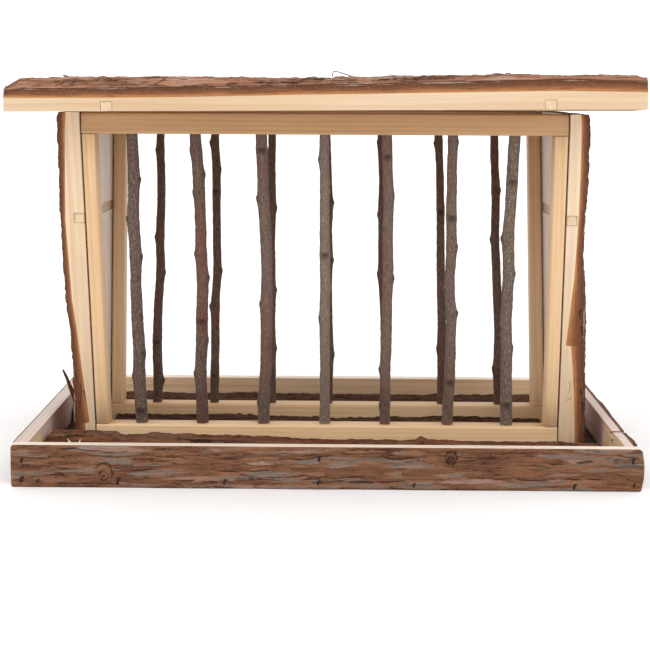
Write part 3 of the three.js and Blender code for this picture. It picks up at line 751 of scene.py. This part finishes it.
tray_board("right_board_front", (-side_end, JOINT_Y), front_length, RIGHT_WOOD, RIGHT_BARK, 36, JOINT_PINE,
           step=1.2, **SIDE_EDGE)
tray_board("right_board_rear", (JOINT_Y + JOINT_GAP, side_end), rear_length, RIGHT_WOOD, RIGHT_BARK, 47,
           RIGHT_TRAY_PINE, clear_start=FINGER_LENGTH + 1, **SIDE_EDGE)


# ---- Floor slats ----

RACK_FACE_Y, RAIL_DEPTH, RAIL_LENGTH = 62, 23, 474
SLAT_SEAT, SLAT_CROWN, SLAT_WOOD = 13.2, 29, 8.5
# X and height of the bark's crown along the slat in front of the rack.
FRONT_CROWN = ((-286, 30.0), (-283, 32.2), (-250, 32.8), (-214, 31.0), (-210, 27.4), (-186, 28.0),
               (-179, 30.2), (-150, 29.6), (-116, 28.8), (-68, 28.2), (-30, 25.8), (4, 25.0), (75, 24.6),
               (91, 25.4), (97, 29.4), (102, 25.6), (126, 24.2), (228, 23.6), (280, 21.9), (286, 21.5))
FRONT_CROWN_SLAT = 1


def slat_bark(lines_s, lines_t, seed, has_front_crown):
    """Bark trimmed down to a seat where the rack stands on it, and standing up as a crown elsewhere."""
    def bark(x, y):
        relief, plate, crack = flaky(x, y, seed, *FLOOR_FLAKES)
        inner = RACK_FACE_Y - RAIL_DEPTH
        to_rail = np.maximum(inner - np.abs(y), np.abs(y) - RACK_FACE_Y)
        to_panel = RAIL_LENGTH / 2 - np.abs(x)
        clear = np.where(np.abs(y) > RACK_FACE_Y, to_rail, np.minimum(to_rail, to_panel))
        across = np.minimum(y - lines_t[0], lines_t[-1] - y)
        round_off = ramp(across, -1.0, 9.0)
        swell = 0.62 + 0.38 * noise(x / 55, y / 60, seed + 4)
        high = (SLAT_CROWN - SLAT_SEAT) * swell + 6.0 * (relief - 0.5)
        if has_front_crown:
            high = np.interp(x, *np.array(FRONT_CROWN).T) - SLAT_SEAT + 3.2 * (relief - 0.5)
        high = high + 2.4 * (fractal(x / 5, y / 3, seed + 6, 3) - 0.5)
        top = SLAT_SEAT + high * ramp(clear, 1.5, 9) * (0.35 + 0.65 * round_off)
        top = top - 1.8 * (1 - relief) * (1 - ramp(clear, 1.5, 8))
        ends = ramp(np.minimum(x - lines_s[0], lines_s[-1] - x), 0, 8)
        top = np.maximum(top * (0.8 + 0.2 * ends), SLAT_WOOD + 1.2)
        return top - SLAT_WOOD, plate, crack
    return bark


for i in range(6):
    node = f"floor_slat_{i + 1}"
    low, high = box_mm(node)
    seat_lines = [side * (RACK_FACE_Y - depth) for side in (-1, 1) for depth in (0, RAIL_DEPTH)]
    inside = [y for y in seat_lines if low[1] + 1 < y < high[1] - 1]
    lines_s, lines_t = lines(low[0], high[0], 2.6), lines(low[1], high[1], 1.9, inside)
    # the slats behind the front two take the painted-shade floor bark
    slab(node, "rack", lines_s, lines_t, point, SLAT_WOOD,
         slat_bark(lines_s, lines_t, 100 + 9 * i, i == FRONT_CROWN_SLAT),
         (FLOOR_BARK if i <= FRONT_CROWN_SLAT else SHADED_FLOOR_BARK, CUT_BARK, PINE),
         (40 * i, 30, 50 + 4 * i), i + 50)


# ---- The rack's frame ----

FOOT_Z, HEAD_Z, TOP_RAIL_FACE_Y = 35.8, 335.8, 115.4
LEAN = (TOP_RAIL_FACE_Y - RACK_FACE_Y) / (HEAD_Z - FOOT_Z)
RACK_SKEW, BOTTOM_RAIL_MIDDLE_Z, RAIL_RISE = 3, 25.3, 321
STILE_WIDTH = 13.3


def skew_at(z):
    return -RACK_SKEW * (z - BOTTOM_RAIL_MIDDLE_Z) / RAIL_RISE


def face_y(z):
    return RACK_FACE_Y + LEAN * (z - FOOT_Z)


def rail(node, seed, finish):
    low, high = box_mm(node)
    middle, half = middle_and_half(node)
    bar(node, "rack", lines(low[0], high[0], 30), half[1], half[2],
        lambda u, a, b: point(u, middle[1] + a, middle[2] + b), finish,
        (seed * 53, 22 + 3 * seed, 40 - 5 * seed), 2.2)


def stile(node, facing, side, seed):
    low, high = box_mm(node)

    def place(u, a, b):
        x = side * (RAIL_LENGTH - STILE_WIDTH) / 2 + skew_at(u) + a
        return point(x, facing * (face_y(u) - RAIL_DEPTH / 2) + b, u)

    bar(node, "rack", lines(low[2], high[2], 30), STILE_WIDTH / 2, RAIL_DEPTH / 2, place, PINE,
        (seed * 71, 35 + 2 * seed, 24 + 4 * seed), 2.6)


for k, (row, facing) in enumerate((("front", -1), ("back", 1))):
    rail(f"{row}_bottom_rail", 2 * k, PINE)
    # the top rails take the browner pine: painted shade under the roof
    rail(f"{row}_top_rail", 2 * k + 1, SHADED_PINE)
    stile(f"{row}_left_stile", facing, -1, 4 + 2 * k)
    stile(f"{row}_right_stile", facing, 1, 5 + 2 * k)


# ---- Branches ----

# X of each centre line at five equal steps of height, foot first; then its knots as (share of the
# height, side, size), its tone from grey to brown, and its girth beside the others'.
LEFT, RIGHT, NEAR = math.pi, 0.0, -math.pi / 2
FRONT_BRANCHES = (
    ((-191.5, -192.5, -193, -192.5, -192), ((.85, RIGHT, 1), (.72, LEFT, 1), (.59, RIGHT, 1),
     (.25, RIGHT, .7), (.17, LEFT, 1), (.05, NEAR, .8)), 0.3, 1.0),
    ((-128.5, -128.5, -126, -126.5, -129.5), ((.95, LEFT, .8), (.87, RIGHT, 1), (.81, LEFT, .8),
     (.60, LEFT, 1), (.52, RIGHT, 1), (.37, NEAR, 1), (.30, RIGHT, .9), (.18, LEFT, 1)), 0.75, 1.0),
    ((-65, -62, -60.5, -62.5, -65), ((.95, NEAR, .8), (.79, LEFT, 1), (.43, LEFT, 1), (.08, LEFT, .8)), 0.5,
     1.0),
    ((-2, -2, -2, -3, -3), ((.92, LEFT, .8), (.83, RIGHT, .8), (.60, NEAR, 1), (.38, LEFT, .8)), 0.25, .86),
    ((60.5, 60.5, 60.5, 60.5, 58), ((.93, NEAR, .8), (.80, RIGHT, .6), (.69, LEFT, .6), (.52, RIGHT, .9),
     (.20, LEFT, 1), (.07, LEFT, .8)), 0.8, .9),
    ((124.5, 126, 124, 123, 122), ((.98, RIGHT, .8), (.73, NEAR, .8), (.63, RIGHT, 1), (.48, LEFT, 1.5),
     (.40, RIGHT, 1.5), (.16, NEAR, .8)), 0.45, .9),
    ((185.5, 183, 181.5, 181.5, 183), ((.85, NEAR, .8), (.66, LEFT, 1.4), (.54, RIGHT, .9), (.35, LEFT, 1),
     (.28, RIGHT, .9), (.08, NEAR, .8)), 0.15, 1.0),
)
# How much paler each of the front ones is than the finish's own colour.
FRONT_PALENESS = (0.0, 0.0, 0.05, 0.17, 0.08, 0.06, 0.07)
BACK_BRANCHES = (
    ((-188, -189, -187, -187, -188.5), ((.92, LEFT, 1), (.60, LEFT, 1), (.47, RIGHT, 1), (.22, NEAR, .8),
     (.08, RIGHT, 1.4)), 0.7, 1.0),
    ((-125, -124.5, -124, -125.5, -127), ((.95, LEFT, 1.4), (.85, RIGHT, .8), (.77, NEAR, .8),
     (.48, RIGHT, 1), (.35, LEFT, 1.4), (.10, NEAR, .8)), 0.9, .97),
    ((-61.5, -63, -63.5, -64, -64), ((.71, RIGHT, 1), (.41, RIGHT, 1), (.20, RIGHT, 1)), 0.7, .92),
    ((1, 1, -0.5, -0.5, -3), ((.73, RIGHT, 1), (.52, RIGHT, 1), (.18, RIGHT, 1)), 0.6, .9),
    ((63, 62.5, 60, 60, 58.5), ((.95, LEFT, .8), (.69, LEFT, 1), (.47, LEFT, 1)), 0.8, .92),
    ((125.5, 126, 124.5, 124, 122.5), ((.95, LEFT, 1), (.70, NEAR, .8), (.20, LEFT, .8)), 0.6, .96),
    ((188, 188.5, 186, 185, 184), ((.78, RIGHT, 1), (.60, LEFT, 1), (.13, LEFT, 1)), 0.6, 1.0),
)
IN_SOCKET = 9.7
FRONT_RADII, BACK_RADII = (6.2, 5.6), (5.1, 4.6)  # at the foot and at the head
BACK_SEED, BACK_BROWNER = 20, 0.25
ROUNDS, AROUND = 200, 22


def branch(node, facing, seed, course, knots, tone, girth, foot_radius, head_radius, paleness):
    heights = np.linspace(FOOT_Z - IN_SOCKET, HEAD_Z + IN_SOCKET, ROUNDS)
    z, angle = np.meshgrid(heights, np.arange(AROUND) * 2 * math.pi / AROUND, indexing="ij")
    t = np.clip((z - FOOT_Z) / (HEAD_Z - FOOT_Z), 0, 1)
    sway = 1.5 * np.sin(math.pi * t) * np.sin(7 * t + seed)
    radius = (foot_radius + (head_radius - foot_radius) * t) * girth
    wrap = AROUND // 2
    turn = angle / (2 * math.pi)
    radius = radius * (1 + 0.07 * (catmull([noise(k, seed, 5) for k in range(9)], t) - 0.5))
    bent, dark = 0 * z, 0 * z
    for share, side, size in knots:
        away = z - (FOOT_Z + share * (HEAD_Z - FOOT_Z))
        apart = np.abs(np.mod(angle - side + math.pi, 2 * math.pi) - math.pi)
        lean_in = np.where(away > 0, 2.0, 5.5)
        bump = np.exp(-(away / lean_in) ** 2 - (apart / 0.8) ** 2)
        radius = radius + size * (1.05 * bump + 0.35 * np.exp(-(away / 7) ** 2))
        bent = bent + 0.8 * size * np.cos(side) * np.exp(-(away / 20) ** 2)
        dark = np.maximum(dark, bump)
    # darker towards the foot, the more so the browner the branch
    dark = np.maximum(dark, 0.45 * tone * (1 - ramp(z, FOOT_Z + 34, FOOT_Z + 50)))
    lengthwise = fractal(turn * wrap, z / 14, 900 + seed, 3, wrap) - 0.5
    pitted = fractal(turn * 2 * wrap, z / 2.4, 950 + seed, 2, 2 * wrap) - 0.5
    shown = ramp(np.minimum(z - FOOT_Z, HEAD_Z - z), -0.5, 2)
    radius = radius + (1.0 * lengthwise + 0.55 * pitted) * (0.3 + 0.7 * shown)
    centre_x = catmull(course, t) + bent
    centre_y = facing * (face_y(z) - RAIL_DEPTH / 2) + sway
    out_x, out_y = radius * np.cos(angle), radius * np.sin(angle)
    grain = np.stack([z + 400 * seed, out_x, out_y], -1) * MM
    attributes = {"grain": grain, "knot": dark.ravel(), "tone": np.full(z.size, tone),
                  "pale": np.full(z.size, paleness)}
    rounds = point(centre_x + out_x, centre_y + out_y, z)
    make_tube(node + "_rod", "rack", rounds, BRANCH, attributes, node, sharp=60)


for i, (course, knots, tone, girth) in enumerate(FRONT_BRANCHES):
    branch(f"front_branch_{i + 1}", -1, i, course, knots, tone, girth, *FRONT_RADII, FRONT_PALENESS[i])
for i, (course, knots, tone, girth) in enumerate(BACK_BRANCHES):
    branch(f"back_branch_{i + 1}", 1, i + BACK_SEED, course, knots, min(1, tone + BACK_BROWNER), girth,
           *BACK_RADII, 0.0)


# ---- End panels ----

PANEL_WIDTH = 118
PANEL_SEAM = 0.05
PANEL_INNER_X = 238.5
PANEL_LOW_Z = 14.6
PANEL_WOOD, PANEL_WOOD_CHANGE = 13.5, 2.2
EDGE_BLEND = 32  # how far in from its front edge a panel follows that edge's own outline
# Height, depth of the wood and height of the bark along a panel's front edge.
LEFT_EDGE = ((14.6, 9.5, 12.6), (36.6, 9.8, 11.6), (37.4, 5.4, 16.8), (70, 8.1, 12.5), (97, 10.4, 9.2),
             (138, 13.4, 6.9), (168, 16.4, 7.1), (203, 17.4, 6.3), (249, 18.7, 5.4), (286, 17.0, 6.3),
             (339, 14.4, 8.0), (356.8, 12.8, 8.1))
RIGHT_EDGE = ((14.6, 17.1, 10.0), (75, 13.9, 12.5), (101, 11.6, 13.2), (122.8, 9.1, 15.0), (123.6, 3.8, 20.1),
              (146, 5.8, 17.9), (173, 7.8, 14.2), (192, 9.6, 10.8), (223, 10.5, 7.1), (258, 11.4, 7.0),
              (292, 11.6, 8.2), (345, 10.8, 8.6), (356.8, 9.6, 10.0))
EDGE_STEPS = (36.6, 37.4, 122.8, 123.6)  # the heights where bark is broken off such an edge
BATTEN_Z, BATTEN_HALF, BATTEN_DEPTH = 252, 5.15, 10.15


def panel_slab(name, side, facing, edge, seed):
    node = f"{name}_panel_{'front' if facing < 0 else 'back'}_slab"
    top_z = box_mm(node)[1][2]
    breaks = [z for z, _, _ in edge if z in EDGE_STEPS]
    grooves = ((BATTEN_Z - BATTEN_HALF, BATTEN_Z + BATTEN_HALF, BATTEN_DEPTH),)
    lines_s = lines(PANEL_LOW_Z, top_z, 1.8, groove_lines(grooves) + (breaks if facing < 0 else []))
    lines_t = lines(0, PANEL_WIDTH, 2.1)
    heights, wood_edge, bark_edge = np.array(edge).T

    def place(s, t, d):
        y = facing * (PANEL_SEAM + (face_y(s) - PANEL_SEAM) * t / PANEL_WIDTH)
        return point(side * (PANEL_INNER_X + d) + skew_at(s), y, s)

    def toward_edge(t):
        return ramp(t, PANEL_WIDTH - EDGE_BLEND, PANEL_WIDTH) if facing < 0 else 0 * t

    def wood(s, t):
        broad = PANEL_WOOD + PANEL_WOOD_CHANGE * (noise(s / 90, t / 50, seed) - 0.5)
        near = toward_edge(t)
        return broad * (1 - near) + np.interp(s, heights, wood_edge) * near

    def bark(s, t):
        relief, plate, crack = flaky(s, t, seed, *PANEL_FLAKES)
        near = toward_edge(t)
        arch = 0.75 + 0.25 * ramp(np.minimum(t, PANEL_WIDTH - t), 0, 22)
        broad = (3.6 + 6.2 * relief) * arch
        fine = 0.9 * (fractal(s / 9, t / 9, seed + 2, 3) - 0.5) + 1.2 * (relief - 0.5)
        fine = fine + 2.6 * (fractal(s / 4, t / 6, seed + 3, 3) - 0.5)
        height = broad * (1 - near) + (np.interp(s, heights, bark_edge) + fine) * near
        ends = 0.8 + 0.2 * ramp(np.minimum(s - PANEL_LOW_Z, top_z - s), 0, 5)
        return height * ends, plate, crack

    slab(node, "rack", lines_s, lines_t, place, wood, bark, (PANEL_BARK, CUT_BARK, PALE_PINE, GREY_PAINTED_LIGHT_PINE),
         (seed * 61, 30 * facing, 45), seed, grooves)


def batten(node, body, step, shift, lift=lambda x, y: 0):
    """An inlaid batten, lying front to back. lift(x, y) raises it with what it is let into."""
    low, high = box_mm(node)
    middle, half = middle_and_half(node)
    bar(node, body, lines(low[1], high[1], step), half[0], half[2],
        lambda u, a, b: point(middle[0] + a, u, middle[2] + b + lift(middle[0], u)), END_PINE, shift, 0.7)


for name, side, edge in (("left", -1, LEFT_EDGE), ("right", 1, RIGHT_EDGE)):
    panel_slab(name, side, -1, edge, 300 + side)
    panel_slab(name, side, 1, edge, 330 + side)
    batten(f"{name}_panel_batten", "rack", 40, ((8 + side) * 29, 12, 6))


# ---- Roof ----

ROOF_Z, ROOF_HALF = 360.3, 300
roof_low, roof_high = box_mm("roof_slab_1")
ROOF_WARP, ROOF_SAG = 2.6, 0.35
ROOF_WOOD, ROOF_WOOD_ARCH = 13.2, 3.5
# X, depth of the wood and height of the sawn bark along the roof's front edge.
ROOF_EDGE = ((-300, 13.0, 7.4), (-288, 12.8, 9.0), (-211, 12.6, 9.6), (-150, 12.9, 9.9), (-118, 13.3, 10.1),
             (-25, 14.8, 9.7), (30, 15.3, 9.6), (68, 15.8, 9.7), (160, 16.9, 10.6), (216, 17.4, 11.3),
             (290, 16.1, 10.8), (300, 15.7, 10.2))
# X and height of the bark's crown behind that edge.
ROOF_CROWN = ((-300, 11.0), (-288, 18.1), (-230, 19.7), (-205, 19.1), (-190, 18.0), (-163, 19.5),
              (-118, 18.6), (-95, 18.0), (-74, 18.3), (-30, 16.7), (-12, 15.2), (5, 15.7), (30, 15.0),
              (46, 16.2), (68, 16.5), (105, 16.2), (135, 16.6), (150, 16.2), (165, 17.0), (180, 17.2),
              (216, 15.6), (254, 16.5), (269, 15.1), (290, 15.7), (300, 14.8))
ROOF_BATTENS = (("roof_batten_left", -206), ("roof_batten_right", 208))
ROOF_BATTEN_HALF, ROOF_BATTEN_DEPTH = 5.62, 9.12


def roof_lift(x, y):
    """The front slab is a little twisted: down at the left, up at the right; the middle sags a little."""
    back = np.clip((y - roof_low[1]) / (roof_high[1] - roof_low[1]), 0, 1)
    return ROOF_WARP * x / ROOF_HALF * (1 - back) - ROOF_SAG * back * (1 - ramp(y, 0, 90))


def roof_slab(i):
    node = f"roof_slab_{i + 1}"
    low, high = box_mm(node)
    width = high[1] - low[1]
    seed = 400 + 13 * i
    is_front = i == 0
    grooves = tuple((x - ROOF_BATTEN_HALF, x + ROOF_BATTEN_HALF, ROOF_BATTEN_DEPTH) for _, x in ROOF_BATTENS)
    lines_s = lines(low[0], high[0], 2.0, groove_lines(grooves))
    lines_t = lines(low[1], high[1], 1.9, np.arange(low[1] + 0.8, low[1] + 14, 0.8) if is_front else ())
    xs, wood_edge, sawn_edge = np.array(ROOF_EDGE).T

    def place(s, t, d):
        return point(s, t, ROOF_Z + roof_lift(s, t) + d)

    def near_front(t):
        return 1 - ramp(t, low[1] + 10, low[1] + 45) if is_front else 0 * t

    def wood(s, t):
        arch = np.sin(math.pi * np.clip((t - low[1]) / width, 0, 1))
        near = near_front(t)
        return (ROOF_WOOD + ROOF_WOOD_ARCH * arch) * (1 - near) + np.interp(s, xs, wood_edge) * near

    def bark(s, t):
        relief, plate, crack = flaky(s, t, seed, *(ROOF_FRONT_FLAKES if is_front else ROOF_FLAKES))
        across = np.minimum(t - low[1], high[1] - t)
        ends = ramp(np.minimum(s - low[0], high[0] - s), 0, 9)
        broad = (5.2 + 6.5 * ramp(across, 0, 16)) * (0.75 + 0.25 * ends) + 5.0 * (relief - 0.5)
        near = near_front(t)
        rise = ramp(t - low[1], 0, 9)
        sawn, crown = np.interp(s, xs, sawn_edge), np.interp(s, *np.array(ROOF_CROWN).T)
        jag = fractal(s / 6, t / 5, seed + 6, 4) - 0.5
        front = sawn + (crown - sawn) * rise + (0.8 + 3.0 * rise) * (relief - 0.45) + 2.6 * rise * jag
        front = front + 1.6 * (fractal(s / 24, 0 * s, seed + 8, 4) - 0.5) * (1 - rise)
        return np.maximum(broad * (1 - near) + front * near, 2.5), plate, crack

    # the underside takes the browner pine: painted shade under the roof
    slab(node, "roof", lines_s, lines_t, place, wood, bark, (ROOF_BARK, CUT_BARK, ROOF_PINE, SHADED_PINE),
         (seed * 7, 33, 52 + i), seed, grooves)


for i in range(5):
    roof_slab(i)
for node, x in ROOF_BATTENS:
    batten(node, "roof", 12, (x, 14, 9), roof_lift)


# ---- Nails ----

# Along the board and up it.
FRONT_NAILS = ((-290, 26.2), (-290.3, 8.0), (-274.4, 6.8), (-198.1, 6.6), (-96, 7.0), (-6.6, 6.7), (-6, 29.8),
               (84.5, 5.4), (237.1, 5.1), (292.4, 29.8), (293.8, 6.3))
BACK_NAILS = ((290, 26), (290, 8), (198, 7), (84, 6), (-20, 7), (-120, 6), (-290, 27), (-290, 7))
# A nail head seen on its edge, driven in slantwise: outline to the right and up from its middle.
NAIL_OUTLINE = ((-1.2, -2.8), (0.3, -3.0), (1.1, -1.2), (1.0, 0.6), (2.0, 1.1), (2.7, 2.3), (1.7, 3.0),
                (0.0, 2.7), (-1.0, 1.7), (-1.3, -0.7))
# How far out of the bark each row of a nail's points is, and its share of the outline.
NAIL_ROWS = ((-1.5, 1.0), (0.15, 1.0), (0.4, 0.75), (0.3, 0.3))
NAIL_REACH = 2.2  # bark this near to a nail's middle sets how far out it sits


def nails(name, places, board, facing):
    """Small blackened heads in the bark of a long board: each a tall slit, hooked at the top."""
    surface = np.empty(3 * len(board.data.vertices))
    board.data.vertices.foreach_get("co", surface)
    surface = surface.reshape(-1, 3) / MM
    surface = surface[facing * surface[:, 1] > tray_inner_y + LONG_WOOD]
    points, four_sided, others = [], [], []
    for k, (x, z) in enumerate(places):
        first = len(points)
        around = np.hypot(surface[:, 0] - x, surface[:, 2] - z) < NAIL_REACH
        y = facing * (facing * surface[around, 1]).max()
        scale = 0.9 + 0.2 * math.sin(2.4 * k)
        for out, size in NAIL_ROWS:
            for across, up in NAIL_OUTLINE:
                points.append((x + scale * size * across, y + facing * out, z + scale * size * up))
        shape = len(NAIL_ROWS), len(NAIL_OUTLINE)
        number = first + np.arange(math.prod(shape)).reshape(shape)
        four_sided.append(quads(closed(number)))
        others += [number[0].tolist(), number[-1][::-1].tolist()]
    four_sided = np.concatenate(four_sided)
    make_piece(name, "rack", np.array(points), four_sided, others, (NAIL,),
               [0] * (len(four_sided) + len(others)), {})


nails("tray_front_nails", FRONT_NAILS, front_tray_board, -1)
nails("tray_back_nails", BACK_NAILS, back_tray_board, 1)


# ---- Loose flakes, splinters and a straw ----

def sliver(name, course, half_width, half_thickness, across, finish, seed, tip=0.12, root=0.7):
    """A thin strip along a course of points, wide in the direction across, tapering to its tip."""
    course = np.array(course, float)
    t = np.linspace(0, 1, 6 * len(course))
    middle = np.stack([catmull(course[:, k], t) for k in range(3)], -1)
    along = np.gradient(middle, axis=0)
    along /= np.linalg.norm(along, axis=1)[:, None]
    across = np.array(across, float)
    wide = across - (along @ across)[:, None] * along
    wide /= np.linalg.norm(wide, axis=1)[:, None]
    thick = np.cross(along, wide)
    taper = tip + (1 - tip) * (1 - t ** 1.6)
    taper = taper * (root + (1 - root) * ramp(t, 0, 0.2))
    taper = taper * (1 + 0.5 * (fractal(9 * t, 0 * t, seed, 3) - 0.5))
    turns = np.arange(10) * 2 * math.pi / 10
    out_wide = (half_width * taper)[:, None, None] * np.cos(turns)[:, None] * wide[:, None]
    thin = half_thickness * (0.4 + 0.6 * taper)
    out_thick = thin[:, None, None] * np.sin(turns)[:, None] * thick[:, None]
    rounds = middle[:, None] + out_wide + out_thick
    ones = np.ones(rounds.shape[:2])
    tone = 0.25 + 0.4 * fractal(5 * t, 0 * t, seed + 1, 2)[:, None] * ones
    steps = np.cumsum(ones, axis=0)
    grain = np.stack([steps, rounds[..., 1], rounds[..., 2]], -1) * MM
    make_tube(name, "roof" if name.startswith("roof") else "rack", rounds, finish,
              {"grain": grain, "plate": tone, "crack": 0.3 * ones, "rise": ones})


UP, ALONG, DEEP = (0, 0, 1), (1, 0, 0), (0, 1, 0)
JOINT_TOP = tray_height - JOINT_DROP + 0.2
# Name, course, half width and thickness, direction of the width, finish, seed, and shares of the
# width left at the tip and at the root where they aren't the usual ones.
SLIVERS = (
    ("left_panel_splinter", ((-257.0, -58, 40), (-258.2, -58, 56), (-261.9, -60, 69), (-264.4, -61, 76),
     (-267.2, -60, 83), (-271.4, -59, 91.6)), 3.0, 1.4, ALONG, SPLINTER_BARK, 1, 0.3),
    ("left_panel_chip", ((-265.5, -40, 236), (-267.0, -41, 241), (-269.2, -42, 249)),
     1.8, 0.8, DEEP, PANEL_BARK, 2),
    ("right_panel_chip_low", ((259.6, -55, 147), (262.4, -56, 141), (265.0, -56, 134)),
     2.2, 1.2, DEEP, PANEL_BARK, 3),
    ("roof_flake_left", ((-226, -158, 386.4), (-236.4, -159, 388.6), (-243, -160, 390.0),
     (-248.4, -160, 391.9)), 3.2, 1.5, DEEP, ROOF_BARK, 4, 0.2),
    ("roof_flake_middle", ((180, -152, 391.4), (175, -151, 393.6), (170.4, -150, 395.8), (166, -150, 394.2)),
     2.6, 0.9, DEEP, ROOF_BARK, 5),
    ("roof_flake_right", ((247, -152, 391.6), (252, -151, 393.6), (257.2, -150, 395.6)),
     1.8, 0.7, DEEP, ROOF_BARK, 6),
    ("roof_straw", ((4.2, -150, 391.6), (4.9, -150, 394.2), (6.6, -150, 397.0), (17.4, -150, 394.1),
     (28.3, -150, 390.6)), 0.5, 0.5, DEEP, SPLINTER_BARK, 7, 0.8),
    ("tray_splinter_1", ((-245, -163.0, tray_height - 1.4), (-246.6, -162.4, tray_height + 0.6),
     (-248.6, -162, tray_height + 3.0)), 0.7, 0.35, ALONG, TRAY_EDGE_PINE, 9),
    ("tray_splinter_2", ((-237, -163.0, tray_height - 1.4), (-236.6, -162.4, tray_height + 0.8),
     (-235.9, -162, tray_height + 3.2)), 0.6, 0.35, ALONG, TRAY_EDGE_PINE, 10),
    ("tray_joint_line_top", ((tray_inner_x + 0.4, JOINT_Y - 0.2, JOINT_TOP),
     (tray_inner_x + 5, JOINT_Y + 0.2, JOINT_TOP), (tray_inner_x + 10.6, JOINT_Y, JOINT_TOP)),
     0.9, 0.5, UP, GLUE, 21, 0.8, 0.9),
    ("tray_joint_line_side", ((tray_inner_x + 0.9, JOINT_Y - 0.4, tray_height - 1),
     (tray_inner_x + 0.8, JOINT_Y - 0.5, tray_height - 9),
     (tray_inner_x + 0.9, JOINT_Y - 0.4, tray_height - 16)), 0.45, 0.4, ALONG, GLUE, 22, 0.5, 0.9),
)
for settings in SLIVERS:
    sliver(*settings)

# Thin dark marks on the end panels' front edges: name, half width, finish, first seed and, for each
# mark, its line of X and height.
FRONT_MARKS = (
    ("right_panel_beetle_line", 0.35, RESIN, 0, (
        ((245.6, 85.4), (247.2, 84.2), (248.5, 85.2)),
        ((248.4, 85.0), (247.7, 80.4), (247.0, 74.1), (244.3, 67.8), (244.8, 63.1)),
        ((244.8, 63.1), (246.9, 67.1), (248.2, 66.4), (249.3, 69.4), (251.6, 62.8)))),
    ("right_panel_hole", 1.1, HOLE, 4, (
        ((258.4, 76), (259.2, 73.6), (259.8, 70)), ((261.0, 64), (261.8, 58), (262.5, 51)),
        ((254.6, 162), (253.6, 157), (255.4, 151)), ((256.2, 144), (257.2, 140), (258.0, 134)))),
    ("left_panel_resin", 0.7, RESIN, 8, (
        ((-257.4, 92), (-255.4, 84), (-252.8, 77.4)),
        ((-252.0, 80), (-251.1, 70.5), (-253.0, 58), (-254.4, 48)),
        ((-248.6, 74), (-247.6, 66), (-247.9, 60)))),
)
for name, half_width, finish, first_seed, marks in FRONT_MARKS:
    for k, places in enumerate(marks):
        course = [(x, 0.35 - face_y(z), z) for x, z in places]
        sliver(f"{name}_{k + 1}", course, half_width, 0.55, ALONG, finish, first_seed + k, 0.3, 0.3)


# ---- Hinges: the CAD's own shapes in plated steel ----

for node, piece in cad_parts.items():
    if "hinge" in node:
        piece.data.materials.clear()
        piece.data.materials.append(STEEL)


# ---- Floor, light and camera ----

def floor_finish():
    finish, place = object_finish("studio_floor", 0.9)
    finish.paint(finish.tint(rgb(0xFAFAFA), rgb(0xF6F6F7), finish.noise(place, 3, 2, 0.5), 0.3, 0.7))
    return finish.material


SWEEP_HALF_WIDTH, SWEEP_FRONT, SWEEP_START, SWEEP_RADIUS, WALL_TOP = 25, -14, 5, 1.5, 3.5
turns = np.linspace(0, math.pi / 2, 17)
profile = [(SWEEP_FRONT, 0.0)]
profile += [(SWEEP_START + SWEEP_RADIUS * math.sin(a), SWEEP_RADIUS * (1 - math.cos(a))) for a in turns]
profile.append((SWEEP_START + SWEEP_RADIUS, WALL_TOP))
corners = [(x, y, z) for y, z in profile for x in (-SWEEP_HALF_WIDTH, SWEEP_HALF_WIDTH)]
sweep = bpy.data.meshes.new("studio_floor")
sweep.from_pydata(corners, [], [(2 * k, 2 * k + 1, 2 * k + 3, 2 * k + 2) for k in range(len(profile) - 1)])
sweep.materials.append(floor_finish())
sweep.polygons.foreach_set("use_smooth", np.ones(len(sweep.polygons), bool))
floor = bpy.data.objects.new("studio_floor", sweep)
bpy.context.scene.collection.objects.link(floor)

world = bpy.data.worlds.new("studio")
bpy.context.scene.world = world
world.use_nodes = True
background = world.node_tree.nodes["Background"]
background.inputs["Color"].default_value = (1, 1, 1, 1)
background.inputs["Strength"].default_value = 0.84


def soft_sun(name, azimuth, elevation, strength, spread):
    """A broad, even light from a direction: azimuth 0 is from the front, 90 from the right."""
    light = bpy.data.lights.new(name, "SUN")
    light.energy = strength
    light.angle = math.radians(spread)
    lamp = bpy.data.objects.new(name, light)
    a, e = math.radians(azimuth), math.radians(elevation)
    toward = Vector((math.sin(a) * math.cos(e), -math.cos(a) * math.cos(e), math.sin(e)))
    lamp.rotation_euler = toward.to_track_quat("Z", "Y").to_euler()
    bpy.context.scene.collection.objects.link(lamp)


soft_sun("key_left", -52, 34, 1.0, 50)
soft_sun("key_right", 48, 34, 1.0, 50)
soft_sun("fill", 160, 62, 0.45, 60)

CAMERA_PLACE = (0.0131, -1.5664, 0.3816)
CAMERA_TURNS = ((0.010414, "Z"), (-0.101954, "X"), (-0.0051286, "Y"))
camera = bpy.data.objects.new("camera", bpy.data.cameras.new("camera"))
camera.data.sensor_width = 36
camera.data.lens = 82.52
camera.data.shift_y = -0.1308
look = Matrix.Identity(4)
for angle, axis in CAMERA_TURNS:
    look = look @ Matrix.Rotation(angle, 4, axis)
camera.matrix_world = Matrix.Translation(CAMERA_PLACE) @ look @ Matrix.Rotation(math.pi / 2, 4, "X")
bpy.context.scene.collection.objects.link(camera)
bpy.context.scene.camera = camera
bpy.context.scene.view_settings.view_transform = "Standard"
